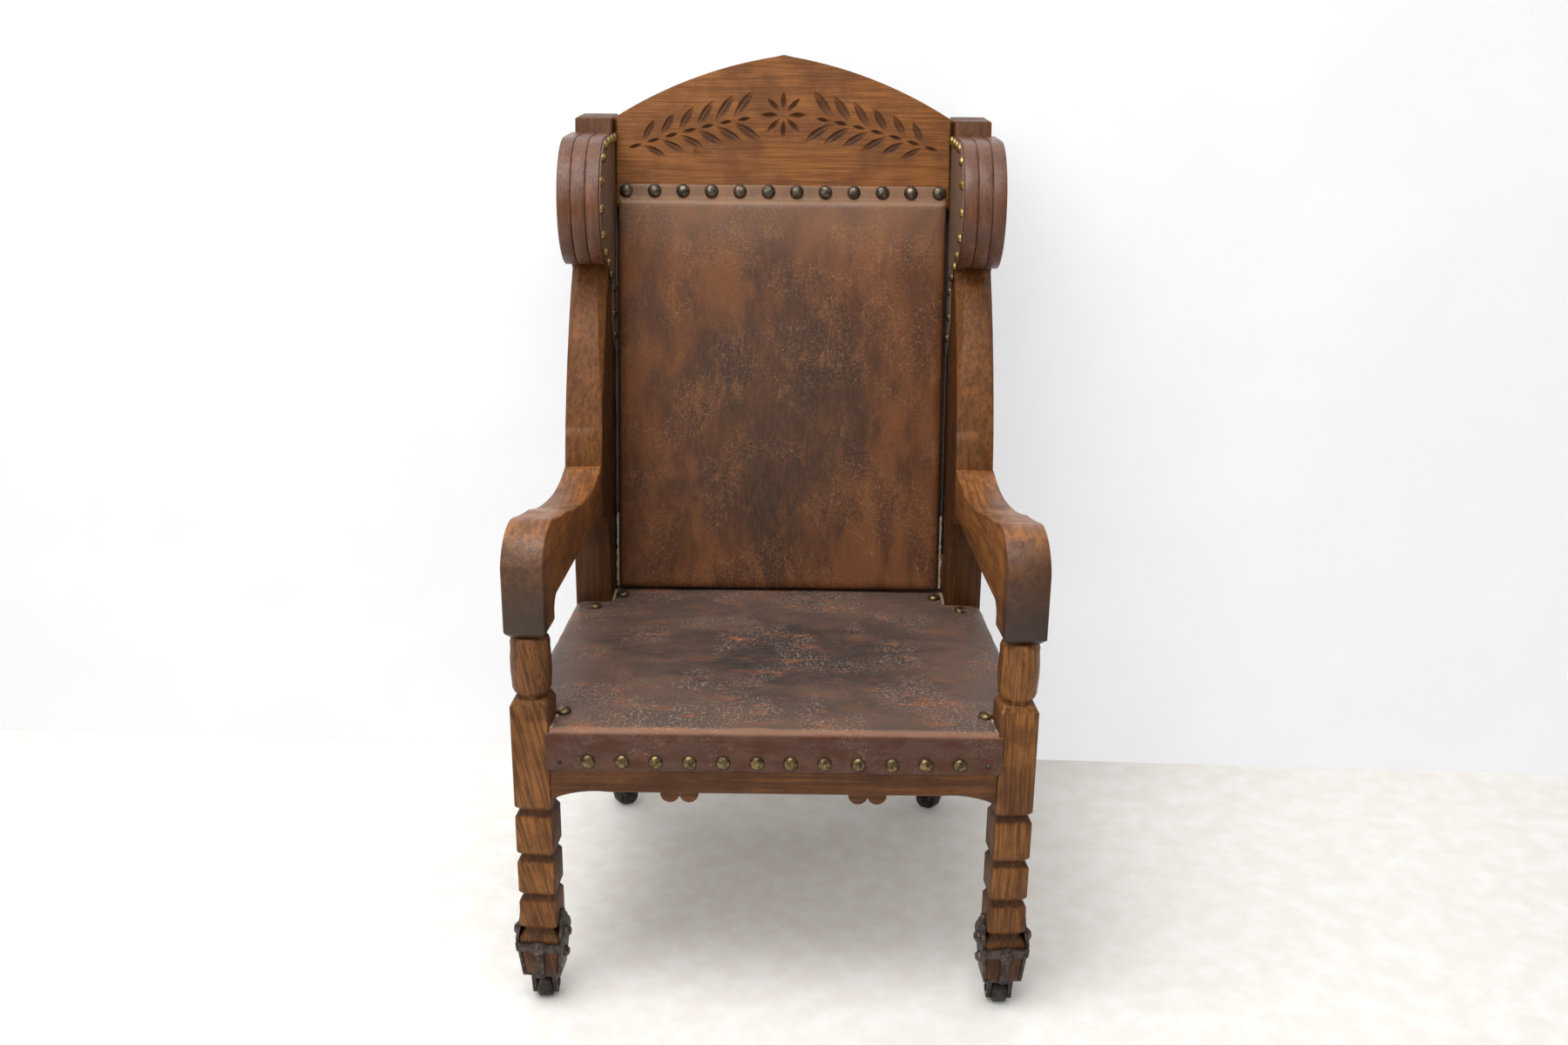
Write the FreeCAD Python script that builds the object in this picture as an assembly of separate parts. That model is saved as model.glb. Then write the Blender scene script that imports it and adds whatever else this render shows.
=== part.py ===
import FreeCAD, Part
import math
import os

# Throne chair: a high-backed oak armchair with scroll ears, notched front legs,
# leather seat and back with dome nails, and four iron casters.
# Millimetres. Seen from the front, +X runs to the viewer's right, +Y to the rear and +Z up.
# Everything is built with Y = 0 at the front of the front legs and moved at the end,
# so that the origin lies under the middle of the whole chair, on the floor.

V = FreeCAD.Vector
X_AXIS = V(1, 0, 0)
Y_AXIS = V(0, 1, 0)
Z_AXIS = V(0, 0, 1)
ZERO = V(0, 0, 0)

# Clearances
overrun = 5.0            # how far a cutting shape runs past what it cuts
seat_gap = 0.3           # soft goods and ironwork from what carries them
tenon_gap = 0.15         # round every tenon
running_gap = 0.05       # radial, shafts in their bores
side_play = 0.6          # wheel to fork cheek, and crown to socket
flat_enough = 0.0001

# Sides of small round pieces, which are drawn with flat faces
few_sides = 8
more_sides = 12
turning_sides = 24       # of the wheels and the turned barrels
ear_sides = 26           # of the half round of the scroll ear

# Seat
seat_height = 450.0      # leather at the front edge, above the floor
# Steps of the padded top, (inward, up) from the edge
crown_steps = ((0.0, -8.0), (2.3, -2.3), (8.0, 0.0), (110.0, 3.4), (220.0, 5.0))
leather_thick = 2.5
leather_lap = 5.0        # how far the front skirt laps over the faces of the front legs
skirt_drop = 57.0        # leather folded down over the rails
webbing_thick = 2.0
webbing_band = 60.0
webbing_space = 36.0
webbing_inset = 10.0

# Front legs
leg_x = 334.0
leg_y = 27.0
leg_thick = 54.0
leg_round = 2.5
block_rise = 30.0        # top of the square block above the seat
block_drop = 129.0       # its lower end below the seat
low_groove = 129.0       # lowest groove above the floor
notch_depth = 6.5
notch_upper = 11.0       # chamfer below a groove
notch_lower = 7.0        # chamfer above a groove
segment_shares = (0.375, 0.333)   # of the notched length, from the top, with the rest last
pyramid_rise = 11.0
pyramid_top = 43.0
neck_radius = 20.5
neck_height = 3.0
barrel_radius = 28.5
barrel_shoulder = 27.0
barrel_end = 22.5
shoulder_height = 16.0   # of the rounded shoulder at each end of the barrel
shoulder_bulge = 1.8
shoulder_steps = 3
arm_tenon_radius = 12.0
arm_tenon_length = 32.0

# Feet, the same on all four legs
foot_bottom = 54.0
foot_strap_top = 114.0
foot_width = 59.0
foot_width_bottom = 46.0

# Rear posts
post_inner = 277.0
post_thick = 58.0
post_front_seat = 475.0  # front of the posts at the seat, behind the front of the front legs
post_seat_depth = 127.5  # depth of the posts at the knee
post_rise = 770.0        # top of the posts above the seat
post_top_depth = 102.0
knee_drop = 2.0          # below it the rear leg rakes back
lean_drop = 105.0        # below it the rear leg also leans in
cap_ease = 2.0
cove_radius = 70.0       # hollow under the arm, and how far the post steps back above it
cove_drop = 23.0         # top of the hollow below the underside of the arm
bow_shares = (0.333, 0.474)   # middle of the bowed edge, back and up from the arm to the ear
stop_outer = 13.0        # stopped chamfers on the front edges, under the ear
stop_inner = 17.0
stop_end_share = 0.18    # where they run out, as a share of the bowed edge
stop_steps = 5
rear_foot_out = 6.0      # middle of the rear foot outside the inner face of the post
rear_foot_back = 134.0   # and behind the front of the post
rear_foot_rise = 4.0     # straight part of the foot above its iron plate
recline_degrees = 10.6

# Scroll ears
ear_reach = 73.4         # centre of the scroll in front of the front of the post there
ear_drop = 121.0         # and below the top of the post
ear_radius = 98.5
ear_thick = 64.0
ear_bands = 3
ear_groove_width = 1.8
ear_groove_depth = 2.4

# Arms
arm_height = 279.0       # highest point above the seat
arm_front_drop = 47.0    # the rest of the top, below that point
arm_rise_drop = 16.0
arm_dip_drop = 40.0
arm_rear_drop = 22.0
arm_under_drop = 108.0
arm_bottom_drop = 149.0
arm_thick = 58.0
arm_out = 1.0            # middle of the arm outside the middle of the leg
arm_rear_deep = 66.0
arm_peak_share = 0.1975  # places along the length of the arm
arm_rise_share = 0.4025
arm_dip_share = 0.7407
arm_under_round = 20.0
arm_nose = 61.0          # depth of the part that stands on the baluster
arm_chamfer = 9.0
arm_roll_shares = (0.27, 0.72)
arm_fall_shares = (0.52, 0.60)
arm_dip_shares = (0.47, 0.33)
arm_rear_shares = (0.62, 0.28)
arm_under_shares = (0.5, 0.36)
arm_tenon_high = 40.0
arm_tenon_thick = 16.0
arm_tenon_deep = 30.0
plug_radius = 5.0
plug_end = 28.0          # how far behind the front of the arm it ends
plug_off = -8.0
plug_drop = 9.0

# Seat rails
rail_thick = 28.0
pad_rise = 15.0          # top of the leather above the rails
rail_high = 81.5
rail_end_drop = 12.0     # the front rail's lower edge sweeps down to the legs
rail_end_run = 80.0
rail_sweep_shares = (0.62, 0.82)
rail_steps = 6
rail_chamfer = 3.0
rail_tenon_high = 52.0
rail_tenon_thick = 10.0
rail_tenon_deep = 22.0
rail_setback = 1.2       # side rails behind the faces of the legs and posts
pendant_x = 131.0
pendant_width = 53.0
pendant_drop = 14.0
pendant_thick = 8.0
lobe_shares = (0.7, 1.4)   # notch between the lobes, and their lowest points, of a quarter width
lobe_steps = 6
rear_rail_back = 91.0    # behind the front of the posts at the seat
corner_block = 46.0
corner_block_high = 60.0

# Back
back_setback = 59.0      # front of the back frame behind the front of the posts at the seat
back_start = 2.0         # its lower edge above the seat
crest_end_drop = 2.3     # ends of the crest board below the tops of the posts
crest_end_high = 143.0
crest_rise = 99.0
crest_nib = 3.5
crest_nib_half = 16.0
crest_bow_share = 0.65
crest_thick = 30.0
crest_ease = 6.0
crest_tenon_high = 90.0
crest_tenon_thick = 12.0
crest_tenon_deep = 24.0
back_side_gap = 9.0      # leather panel to the posts
back_rail_low = 8.0
back_rail_high = 66.0
back_rail_tenon = 34.0
back_bar_width = 42.0
back_web_inset = 12.0
pad_low = 4.5
pad_over = 14.0          # top of the padding over the crest board
pad_thick = 14.0
back_crown_steps = ((0.0, -7.0), (2.0, -2.0), (7.0, 0.0), (100.0, 5.0), (210.0, 7.0))
strip_over = 38.0        # top of the nailed strip over the crest board
wrap_deep = 22.0
cover_low = 20.0
cover_over = 80.0        # top of the outside cover over the crest board
cover_inset = 3.0
cover_nail_in = 13.0
cover_nail_pitch = 84.0
bar_tenon_width = 26.0
bar_tenon_deep = 20.0

# Wing leather
wing_edge = 2.5          # inside the rim of the ear
wing_tail = 42.0         # width beside the back
wing_tail_drops = (38.5, 95.5, 154.5)   # of its corners below the ear
wing_nail_inset = 9.5
wing_nail_start = 12.0   # first nail in front of the crest board
wing_path_steps = 24
wing_path_short = 2      # steps left out where the path leaves the scroll

# Dome nails
nail_shares = ((0.0, 1.0), (0.5, 0.84), (1.0, 0.38))
hidden_nail_shares = ((0.0, 1.0), (1.0, 0.5))   # on the wings, at the sides and at the rear
hidden_nail_sides = 6
nail_radius = 10.0
nail_height = 5.0
wing_nail_radius = 9.0
wing_nail_height = 4.0
nail_pitch = 46.6
nail_count = 12
wing_nail_pitch = 42.0
nail_edge = 10.5         # nail centre from the edge of the leather
side_nail_pitch = 62.0
corner_nail_in = 11.0
corner_nail_back = 29.0
rear_nail_in = 16.0      # nails at the posts
rear_nail_back = 32.0
post_nail_out = 24.0
post_nail_front = 21.0

# Caster and shoe
shoe_thick = 4.5
plate_peak = 152.0
plate_half = 29.0
plate_half_bottom = 21.0
scallop_shares = ((0.68, 0.36), (0.34, 0.68), (0.0, 1.0))
scallop_bulge = 2.5
scallop_steps = 3
strap_high = 14.0
strap_stem = 12.0
strap_top = 110.0
boss_radius = 12.0
bolt_z = 114.0
big_bolt_radius = 10.5   # on the outer side
big_bolt_head = 8.0
bolt_radius = 8.5
bolt_head = 7.0
low_bolt_z = 80.0
strap_bolt_z = 101.0
strap_bolt_radius = 8.5
strap_bolt_head = 3.5
bolt_shares = ((0.0, 1.0), (0.45, 0.9), (1.0, 0.5))
strap_boss = 11.5        # round swelling of the strap about its bolt
bolt_shank = 3.0
bolt_grip = 14.0
bolt_gap = 0.3
stem_radius = 5.0
stem_head_radius = 8.0
stem_head = 3.0
stem_room = 1.5          # wood cleared round the stem head
wheel_radius = 20.0
wheel_width = 22.0
wheel_round = 2.5
axle_radius = 3.5
axle_head = 2.0
axle_head_radius = 5.5
fork_cheek = 6.5
fork_crown = 5.0
fork_crown_half = 13.0
fork_clear = 1.5         # above the wheel
fork_tip = 5.0
fork_steps = 8
caster_trail = 7.0
front_caster_turn = 0.0
rear_caster_turn = 45.0

# Worked out from the sizes above
slope = math.tan(math.radians(recline_degrees))
block_top = seat_height + block_rise
block_bottom = seat_height - block_drop
arm_peak_z = seat_height + arm_height
arm_front_z = arm_peak_z - arm_front_drop
arm_rise_z = arm_peak_z - arm_rise_drop
arm_dip_z = arm_peak_z - arm_dip_drop
arm_rear_top = arm_peak_z - arm_rear_drop
arm_under = arm_peak_z - arm_under_drop
arm_bottom = arm_peak_z - arm_bottom_drop
arm_rear_under = arm_rear_top - arm_rear_deep
plug_z = arm_peak_z - plug_drop
post_top = seat_height + post_rise
post_knee = seat_height - knee_drop
post_lean = seat_height - lean_drop
post_front_arm = post_front_seat - cove_radius
cove_top = arm_rear_under - cove_drop
rear_foot_x = post_inner + rear_foot_out
rear_foot_y = post_front_seat + rear_foot_back
rear_foot_top = plate_peak + rear_foot_rise
ear_centre_z = post_top - ear_drop
ear_centre_y = (post_front_seat + post_seat_depth + (ear_centre_z - post_knee) * slope
                - post_top_depth - ear_reach)
rail_top = seat_height - pad_rise
rail_bottom = rail_top - rail_high
rear_rail_y = post_front_seat + rear_rail_back
back_plane_y = post_front_seat + back_setback
back_plane_z = seat_height + back_start
crest_end = (post_top - crest_end_drop - back_plane_z) / math.cos(math.radians(recline_degrees))
crest_bottom = crest_end - crest_end_high
crest_peak = crest_end + crest_rise
crest_tenon_low = (crest_bottom + crest_end - crest_tenon_high) / 2
back_half = post_inner - back_side_gap
pad_high = crest_bottom + pad_over
strip_high = crest_bottom + strip_over
cover_high = crest_bottom + cover_over
post_outer = post_inner + post_thick
post_mid = post_inner + post_thick / 2
leg_half = leg_thick / 2
notched = block_bottom - low_groove
groove_tops = [block_bottom,
               block_bottom - notched * segment_shares[0],
               block_bottom - notched * sum(segment_shares),
               low_groove]
arm_turn = math.degrees(math.atan2(leg_x - post_mid, post_front_arm - leg_y))
arm_x = leg_x + arm_out
ear_bottom = ear_centre_z - ear_radius
ear_top = ear_centre_z + ear_radius
wing_tail_top, wing_tail_high, wing_tail_low = [ear_bottom - drop for drop in wing_tail_drops]
leg_cos = math.cos(math.radians(arm_turn))
leg_sin = math.sin(math.radians(arm_turn))
rail_front = leg_y - leg_half * (leg_cos + leg_sin)
leg_neck = leg_thick - 2 * notch_depth
skirt_bottom = seat_height - skirt_drop
baluster_bottom = block_top + pyramid_rise
rear_foot_half = leg_half
rake = (rear_foot_y - rear_foot_half - post_front_seat) / (post_knee - rear_foot_top)
base_bottom = foot_bottom - seat_gap - shoe_thick
crown_bottom = 2 * wheel_radius + fork_clear
crown_top = crown_bottom + fork_crown
boss_bottom = crown_top + side_play
cheek_inner = wheel_width / 2 + side_play
cheek_outer = cheek_inner + fork_cheek

pieces = {}


def keep(name, shape):
    solids = shape.Solids
    for solid in solids:
        if not solid.isValid() or solid.Volume <= 0:
            raise ValueError("bad solid in " + name)
    pieces[name] = solids[0] if len(solids) == 1 else Part.makeCompound(solids)


def box(x0, x1, y0, y1, z0, z1):
    return Part.makeBox(x1 - x0, y1 - y0, z1 - z0, V(x0, y0, z0))


def mirrored(shape):
    return shape.mirror(ZERO, X_AXIS)


def moved(shape, x, y, z):
    copy = shape.copy()
    copy.translate(V(x, y, z))
    return copy


def turned(shape, degrees, centre=ZERO, axis=Z_AXIS):
    copy = shape.copy()
    copy.rotate(centre, axis, degrees)
    return copy


def fused(shapes):
    whole = shapes[0]
    if len(shapes) > 1:
        whole = whole.multiFuse(shapes[1:])
    return whole.removeSplitter()


def outline(start, *steps):
    # A step with one point is a straight edge, a step with two is an arc through the first to the second.
    edges = []
    here = start
    for step in steps:
        if len(step) == 1:
            edges.append(Part.LineSegment(here, step[0]).toShape())
        else:
            edges.append(Part.Arc(here, step[0], step[1]).toShape())
        here = step[-1]
    if here.distanceToPoint(start) > tenon_gap:
        edges.append(Part.LineSegment(here, start).toShape())
    return Part.Face(Part.Wire(edges))


def side(y, z, x=0):
    return V(x, y, z)


def front(x, z, y=0):
    return V(x, y, z)


def plan(x, y, z=0):
    return V(x, y, z)


def thickened(face, vector):
    return face.extrude(vector)


def skinned(rings):
    # A solid with flat faces between rings of points, closed by the first and the last ring.
    faces = [Part.Face(Part.makePolygon(ring + ring[:1])) for ring in (rings[0], rings[-1])]
    for low, high in zip(rings, rings[1:]):
        for number in range(len(low)):
            after = (number + 1) % len(low)
            corners = [low[number], low[after], high[after], high[number]]
            normal = (corners[1] - corners[0]).cross(corners[3] - corners[0])
            if abs((corners[2] - corners[0]).dot(normal)) < flat_enough * normal.Length:
                faces.append(Part.Face(Part.makePolygon(corners + corners[:1])))
            else:
                for three in (corners[:3], [corners[0], corners[2], corners[3]]):
                    faces.append(Part.Face(Part.makePolygon(three + three[:1])))
    solid = Part.makeSolid(Part.makeShell(faces))
    if solid.Volume < 0:
        solid.reverse()
    return solid


def eased_square(size, ease, z):
    half = size / 2
    near = half - ease
    points = []
    for turn in range(4):
        cosine, sine = ((1, 0), (0, 1), (-1, 0), (0, -1))[turn]
        for a, b in ((half, -near), (half, near)):
            points.append(V(a * cosine - b * sine, a * sine + b * cosine, z))
    return points


def stacked(sections, ease):
    # Square sections with eased corners one above the other, each given as (height, size).
    return skinned([eased_square(size, ease, z) for z, size in sections])


def ring(radius, sides, height):
    # Corners of a many-sided round, whose flat sides lie at the radius.
    reach = radius / math.cos(math.pi / sides)
    points = []
    for corner in range(sides):
        angle = math.pi * (2 * corner + 1) / sides
        points.append(V(reach * math.cos(angle), reach * math.sin(angle), height))
    return points


def turned_solid(profile, sides, base, direction):
    # A small round solid from (height, radius) pairs along its axis.
    solid = skinned([ring(radius, sides, height) for height, radius in profile])
    solid.Placement = FreeCAD.Placement(base, FreeCAD.Rotation(Z_AXIS, direction))
    return solid


def rod(radius, length, base, direction=Z_AXIS, sides=few_sides):
    return turned_solid([(0, radius), (length, radius)], sides, base, direction)


def pin(radius, length, base, direction=Z_AXIS):
    # A rod whose corners lie at the radius, so that it turns in a round bore.
    return rod(radius * math.cos(math.pi / more_sides), length, base, direction, more_sides)


def dome(radius, height, base, direction, shares, sides):
    profile = [(height * high, radius * wide) for high, wide in shares]
    return turned_solid(profile, sides, base, direction)


def arc_steps(start, middle, end, count):
    # Single-point steps for an outline, evenly along an arc.
    arc = Part.Arc(start, middle, end)
    first = arc.FirstParameter
    reach = arc.LastParameter - first
    points = [arc.value(first + reach * step / count) for step in range(1, count)] + [end]
    return [[point] for point in points]


def post_back(z):
    return post_front_seat + post_seat_depth + (z - post_knee) * slope


def post_front_high(z):
    return post_back(z) - post_top_depth


def post_front_low(z):
    return post_front_seat + (post_knee - z) * rake


def back_plane(z):
    return back_plane_y + (z - back_plane_z) * slope


def on_back(shape):
    # Shapes of the back are drawn upright, with y behind the frame's front face, and then laid on the slope.
    copy = shape.copy()
    copy.rotate(ZERO, X_AXIS, -recline_degrees)
    copy.translate(V(0, back_plane_y, back_plane_z))
    return copy


# Front legs


def placed_leg(shape):
    return moved(turned(shape, arm_turn), leg_x, leg_y, 0)


def leg_prism():
    return placed_leg(box(-leg_half, leg_half, -leg_half, leg_half, groove_tops[-1], block_top))


def foot_sections():
    return [(foot_bottom, foot_width_bottom), (foot_strap_top, foot_width), (groove_tops[-1], leg_neck)]


def stem_bore(x, y):
    top = foot_bottom + side_play + stem_head + stem_room
    return rod(stem_head_radius + stem_room, top - base_bottom, V(x, y, base_bottom), Z_AXIS, more_sides)


def baluster():
    # Turned barrel with rounded shoulders on a short neck, and the round tenon that holds the arm.
    low = baluster_bottom + neck_height
    high = arm_bottom
    shoulder_low = low + shoulder_height
    shoulder_high = high - shoulder_height
    waist = (shoulder_low + shoulder_high) / 2
    low_mid = front((neck_radius + barrel_shoulder) / 2 + shoulder_bulge,
                    (low + shoulder_low) / 2 - shoulder_bulge)
    high_mid = front((barrel_end + barrel_shoulder) / 2 + shoulder_bulge,
                     (high + shoulder_high) / 2 + shoulder_bulge)
    neck = front(neck_radius, low)
    belly_low = front(barrel_shoulder, shoulder_low)
    belly_high = front(barrel_shoulder, shoulder_high)
    steps = arc_steps(neck, low_mid, belly_low, shoulder_steps)
    steps += arc_steps(belly_low, front(barrel_radius, waist), belly_high, shoulder_steps)
    steps += arc_steps(belly_high, high_mid, front(barrel_end, high), shoulder_steps)
    points = [front(neck_radius, baluster_bottom), neck] + [step[0] for step in steps]
    points += [front(arm_tenon_radius, high), front(arm_tenon_radius, high + arm_tenon_length)]
    return turned_solid([(point.z, point.x) for point in points], turning_sides, ZERO, Z_AXIS)


def leg_stick():
    sections = foot_sections()
    for level in range(len(groove_tops) - 1, -1, -1):
        groove = groove_tops[level]
        sections.append((groove + notch_lower, leg_thick))
        if level > 0:
            above = groove_tops[level - 1]
            sections.append((above - notch_upper, leg_thick))
            sections.append((above, leg_neck))
    sections.append((block_top, leg_thick))
    sections.append((baluster_bottom, pyramid_top))
    return fused([stacked(sections, leg_round), baluster()])


def front_rail_tenon(grow=0):
    y = rail_front + rail_thick / 2
    z = (rail_top + rail_bottom) / 2
    half = rail_tenon_thick / 2 + grow
    high = rail_tenon_high / 2 + grow
    inner = leg_x - leg_half * (leg_cos + leg_sin) - overrun
    outer = leg_x - leg_half * leg_cos + rail_tenon_deep + grow
    return box(inner, outer, y - half, y + half, z - high, z + high)


def side_rail_lines(inset=0):
    # Outer face of the side rail in plan, from the middle of the leg to beyond the post.
    ax = leg_x + leg_half * (leg_cos - leg_sin) - rail_setback
    ay = leg_y + leg_half * (leg_cos + leg_sin)
    bx = post_outer - rail_setback
    by = post_front_seat
    run = (bx - ax) / (by - ay)
    shift = inset * math.hypot(1, run)

    def outer(y):
        return ax + run * (y - ay) - shift
    return outer


def side_rail_tenon(grow=0, rear=False):
    outer = side_rail_lines()
    z = (rail_top + rail_bottom) / 2
    half = rail_tenon_thick / 2 + grow
    high = rail_tenon_high / 2 + grow
    if rear:
        y0 = post_front_low(z + rail_tenon_high / 2) - overrun
        y1 = post_front_low(z) + rail_tenon_deep + grow
        x = outer(y1) - rail_thick / 2
    else:
        y1 = leg_y + leg_half * (leg_cos + leg_sin) + overrun
        y0 = leg_y + leg_half * leg_cos - rail_tenon_deep - grow
        x = outer(y0) - rail_thick / 2
    return box(x - half, x + half, y0, y1, z - high, z + high)


def front_leg():
    leg = placed_leg(leg_stick())
    leg = leg.cut([front_rail_tenon(tenon_gap), side_rail_tenon(tenon_gap), stem_bore(leg_x, leg_y)])
    return leg.cut(shoe_bolt_holes(leg_x, leg_y, arm_turn))


# Rear posts


def bow_points():
    start = side(ear_centre_y, ear_bottom)
    end = side(post_front_arm, arm_rear_top)
    middle = between(end, start, bow_shares)
    return start, middle, end


def post_board():
    start, middle, end = bow_points()
    diagonal = cove_radius * math.sqrt(2) / 2
    cove_y = post_front_arm
    cove_z = cove_top - cove_radius
    reach = post_front_seat - post_front_arm
    face = outline(side(post_back(post_knee), post_knee),
                   [side(post_back(post_top), post_top)],
                   [side(post_front_high(post_top), post_top)],
                   [side(post_front_high(ear_bottom), ear_bottom)],
                   [start],
                   [middle, end],
                   [side(post_front_arm, cove_top)],
                   [side(cove_y + diagonal * reach / cove_radius, cove_z + diagonal),
                    side(post_front_seat, cove_z)],
                   [side(post_front_seat, post_knee)])
    return thickened(moved(face, post_inner, 0, 0), V(post_thick, 0, 0))


def stopped_chamfer(edge_x, inward, width):
    # A chamfer that widens evenly up the bowed front edge, as ruled triangles along it.
    start, middle, end = bow_points()
    arc = Part.Arc(start, middle, end)
    first = arc.FirstParameter
    last = arc.LastParameter
    share = 1 - stop_end_share
    rings = []
    for step in range(stop_steps + 1):
        at = step / stop_steps
        parameter = first + (last - first) * share * at
        point = arc.value(parameter)
        tangent = arc.tangent(parameter)[0]
        into = tangent.cross(X_AXIS)
        if into.y < 0:
            into = into * -1
        size = width * (1 - at) + tenon_gap
        corner = V(edge_x, point.y, point.z)
        across = V(inward, 0, 0)
        a = corner + into * (size + overrun) - across * overrun
        b = corner + across * (size + overrun) - into * overrun
        c = corner - (into + across) * (2 * overrun)
        rings.append([a, b, c])
    return skinned(rings)


def rectangle(x0, x1, y0, y1, z):
    return [V(x0, y0, z), V(x1, y0, z), V(x1, y1, z), V(x0, y1, z)]


def rear_leg():
    lean_share = (post_knee - post_lean) / (post_knee - rear_foot_top)
    foot_back = rear_foot_y + rear_foot_half
    lean_back = post_back(post_knee) + (foot_back - post_back(post_knee)) * lean_share
    rings = [rectangle(post_inner, post_outer, post_front_seat, post_back(post_knee), post_knee),
             rectangle(post_inner, post_outer, post_front_low(post_lean), lean_back, post_lean),
             rectangle(rear_foot_x - rear_foot_half, rear_foot_x + rear_foot_half,
                       rear_foot_y - rear_foot_half, foot_back, rear_foot_top)]
    shank = skinned(rings)
    sections = foot_sections() + [(groove_tops[-1] + notch_lower, leg_thick), (rear_foot_top, leg_thick)]
    foot = moved(stacked(sections, leg_round), rear_foot_x, rear_foot_y, 0)
    return [shank, foot]


def rear_rail_tenon(grow=0):
    y = rear_rail_y + rail_thick / 2
    z = (rail_top + rail_bottom) / 2
    half = rail_tenon_thick / 2 + grow
    high = rail_tenon_high / 2 + grow
    return box(post_inner - overrun, post_inner + rail_tenon_deep + grow,
               y - half, y + half, z - high, z + high)


def back_tenon(low, high, grow=0):
    middle = crest_thick / 2
    half = crest_tenon_thick / 2 + grow
    return on_back(box(post_inner - overrun, post_inner + crest_tenon_deep + grow,
                       middle - half, middle + half, low - grow, high + grow))


def crest_tenon(grow=0):
    return back_tenon(crest_tenon_low, crest_tenon_low + crest_tenon_high, grow)


def back_rail_tenon_block(grow=0):
    middle = (back_rail_low + back_rail_high) / 2
    return back_tenon(middle - back_rail_tenon / 2, middle + back_rail_tenon / 2, grow)


def arm_tenon(grow=0):
    z = (arm_rear_top + arm_rear_under) / 2
    half = arm_tenon_thick / 2 + grow
    high = arm_tenon_high / 2 + grow
    return box(post_mid - half, post_mid + half, post_front_arm - overrun,
               post_front_arm + arm_tenon_deep + grow, z - high, z + high)


def rear_post():
    post = fused([post_board()] + rear_leg())
    post = post.cut([stopped_chamfer(post_outer, -1, stop_outer), stopped_chamfer(post_inner, 1, stop_inner)])
    post = post.cut([side_rail_tenon(tenon_gap, True), rear_rail_tenon(tenon_gap), arm_tenon(tenon_gap),
                     crest_tenon(tenon_gap), back_rail_tenon_block(tenon_gap),
                     stem_bore(rear_foot_x, rear_foot_y)])
    post = post.cut(shoe_bolt_holes(rear_foot_x, rear_foot_y, 0))
    top_edges = [edge for edge in post.Edges
                 if min(vertex.Z for vertex in edge.Vertexes) > post_top - tenon_gap]
    return post.makeChamfer(cap_ease, top_edges)


# Scroll ears


def ear_face(inset, x):
    top = ear_top - inset
    bottom = ear_bottom + inset
    start = side(ear_centre_y, bottom, x)
    nose = side(ear_centre_y - ear_radius + inset, ear_centre_z, x)
    return outline(start,
                   *arc_steps(start, nose, side(ear_centre_y, top, x), ear_sides),
                   [side(post_front_high(top), top, x)],
                   [side(post_front_high(bottom), bottom, x)])


def scroll_ear():
    band = (ear_thick - (ear_bands - 1) * ear_groove_width) / ear_bands
    parts = [thickened(ear_face(ear_groove_depth, post_inner), V(ear_thick, 0, 0))]
    for number in range(ear_bands):
        x = post_inner + number * (band + ear_groove_width)
        parts.append(thickened(ear_face(0, x), V(band, 0, 0)))
    return fused(parts)


# Arms


def between(start, end, shares):
    return side(start.y + (end.y - start.y) * shares[0], start.z + (end.z - start.z) * shares[1], start.x)


def arm_face(x):
    end = post_front_arm + 2 * overrun
    front_low = side(0, arm_bottom, x)
    front_high = side(0, arm_front_z, x)
    peak = side(post_front_arm * arm_peak_share, arm_peak_z, x)
    rise = side(post_front_arm * arm_rise_share, arm_rise_z, x)
    dip = side(post_front_arm * arm_dip_share, arm_dip_z, x)
    rear = side(post_front_arm, arm_rear_top, x)
    under_rear = side(end, arm_rear_under, x)
    under_front = side(arm_nose + arm_under_round, arm_under, x)
    bend = arm_under_round * (1 - math.sqrt(2) / 2)
    under_mid = between(under_front, under_rear, arm_under_shares)
    return outline(front_low,
                   [front_high],
                   [between(front_high, peak, arm_roll_shares), peak],
                   [between(peak, rise, arm_fall_shares), rise],
                   [between(rise, dip, (arm_dip_shares[0], 1 - arm_dip_shares[1])), dip],
                   [between(dip, rear, arm_rear_shares), rear],
                   [side(end, arm_rear_top, x)],
                   [under_rear],
                   [under_mid, under_front],
                   [side(arm_nose + bend, arm_under - bend, x),
                    side(arm_nose, arm_under - arm_under_round, x)],
                   [side(arm_nose, arm_bottom, x)])


def arm_blank():
    blank = thickened(arm_face(arm_x - arm_thick / 2), V(arm_thick, 0, 0))
    bottom_edges = [edge for edge in blank.Edges
                    if max(vertex.Z for vertex in edge.Vertexes) < arm_bottom + tenon_gap]
    blank = blank.makeChamfer(arm_chamfer, bottom_edges)
    return turned(blank, arm_turn, V(leg_x, leg_y, 0))


def arm():
    blank = arm_blank()
    rear = box(0, post_outer + arm_thick, post_front_arm, post_front_arm + arm_thick, cove_top, post_top)
    body = blank.cut(rear)
    body = fused([body, arm_tenon().cut(box(0, post_outer, 0, post_front_arm - overrun / 2, 0, post_top))])
    hole = rod(arm_tenon_radius + tenon_gap, arm_tenon_length + overrun + tenon_gap,
               V(leg_x, leg_y, arm_bottom - overrun), Z_AXIS, turning_sides)
    return body.cut(hole)


def plug(grow=0):
    # Seated in the rounded front of the right-hand arm, level with its surface.
    dowel = rod(plug_radius + grow, plug_end + grow + arm_thick,
                V(leg_x + plug_off, -arm_thick, plug_z), Y_AXIS, more_sides)
    return turned(dowel, arm_turn, V(leg_x, leg_y, 0))


# Seat frame


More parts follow.
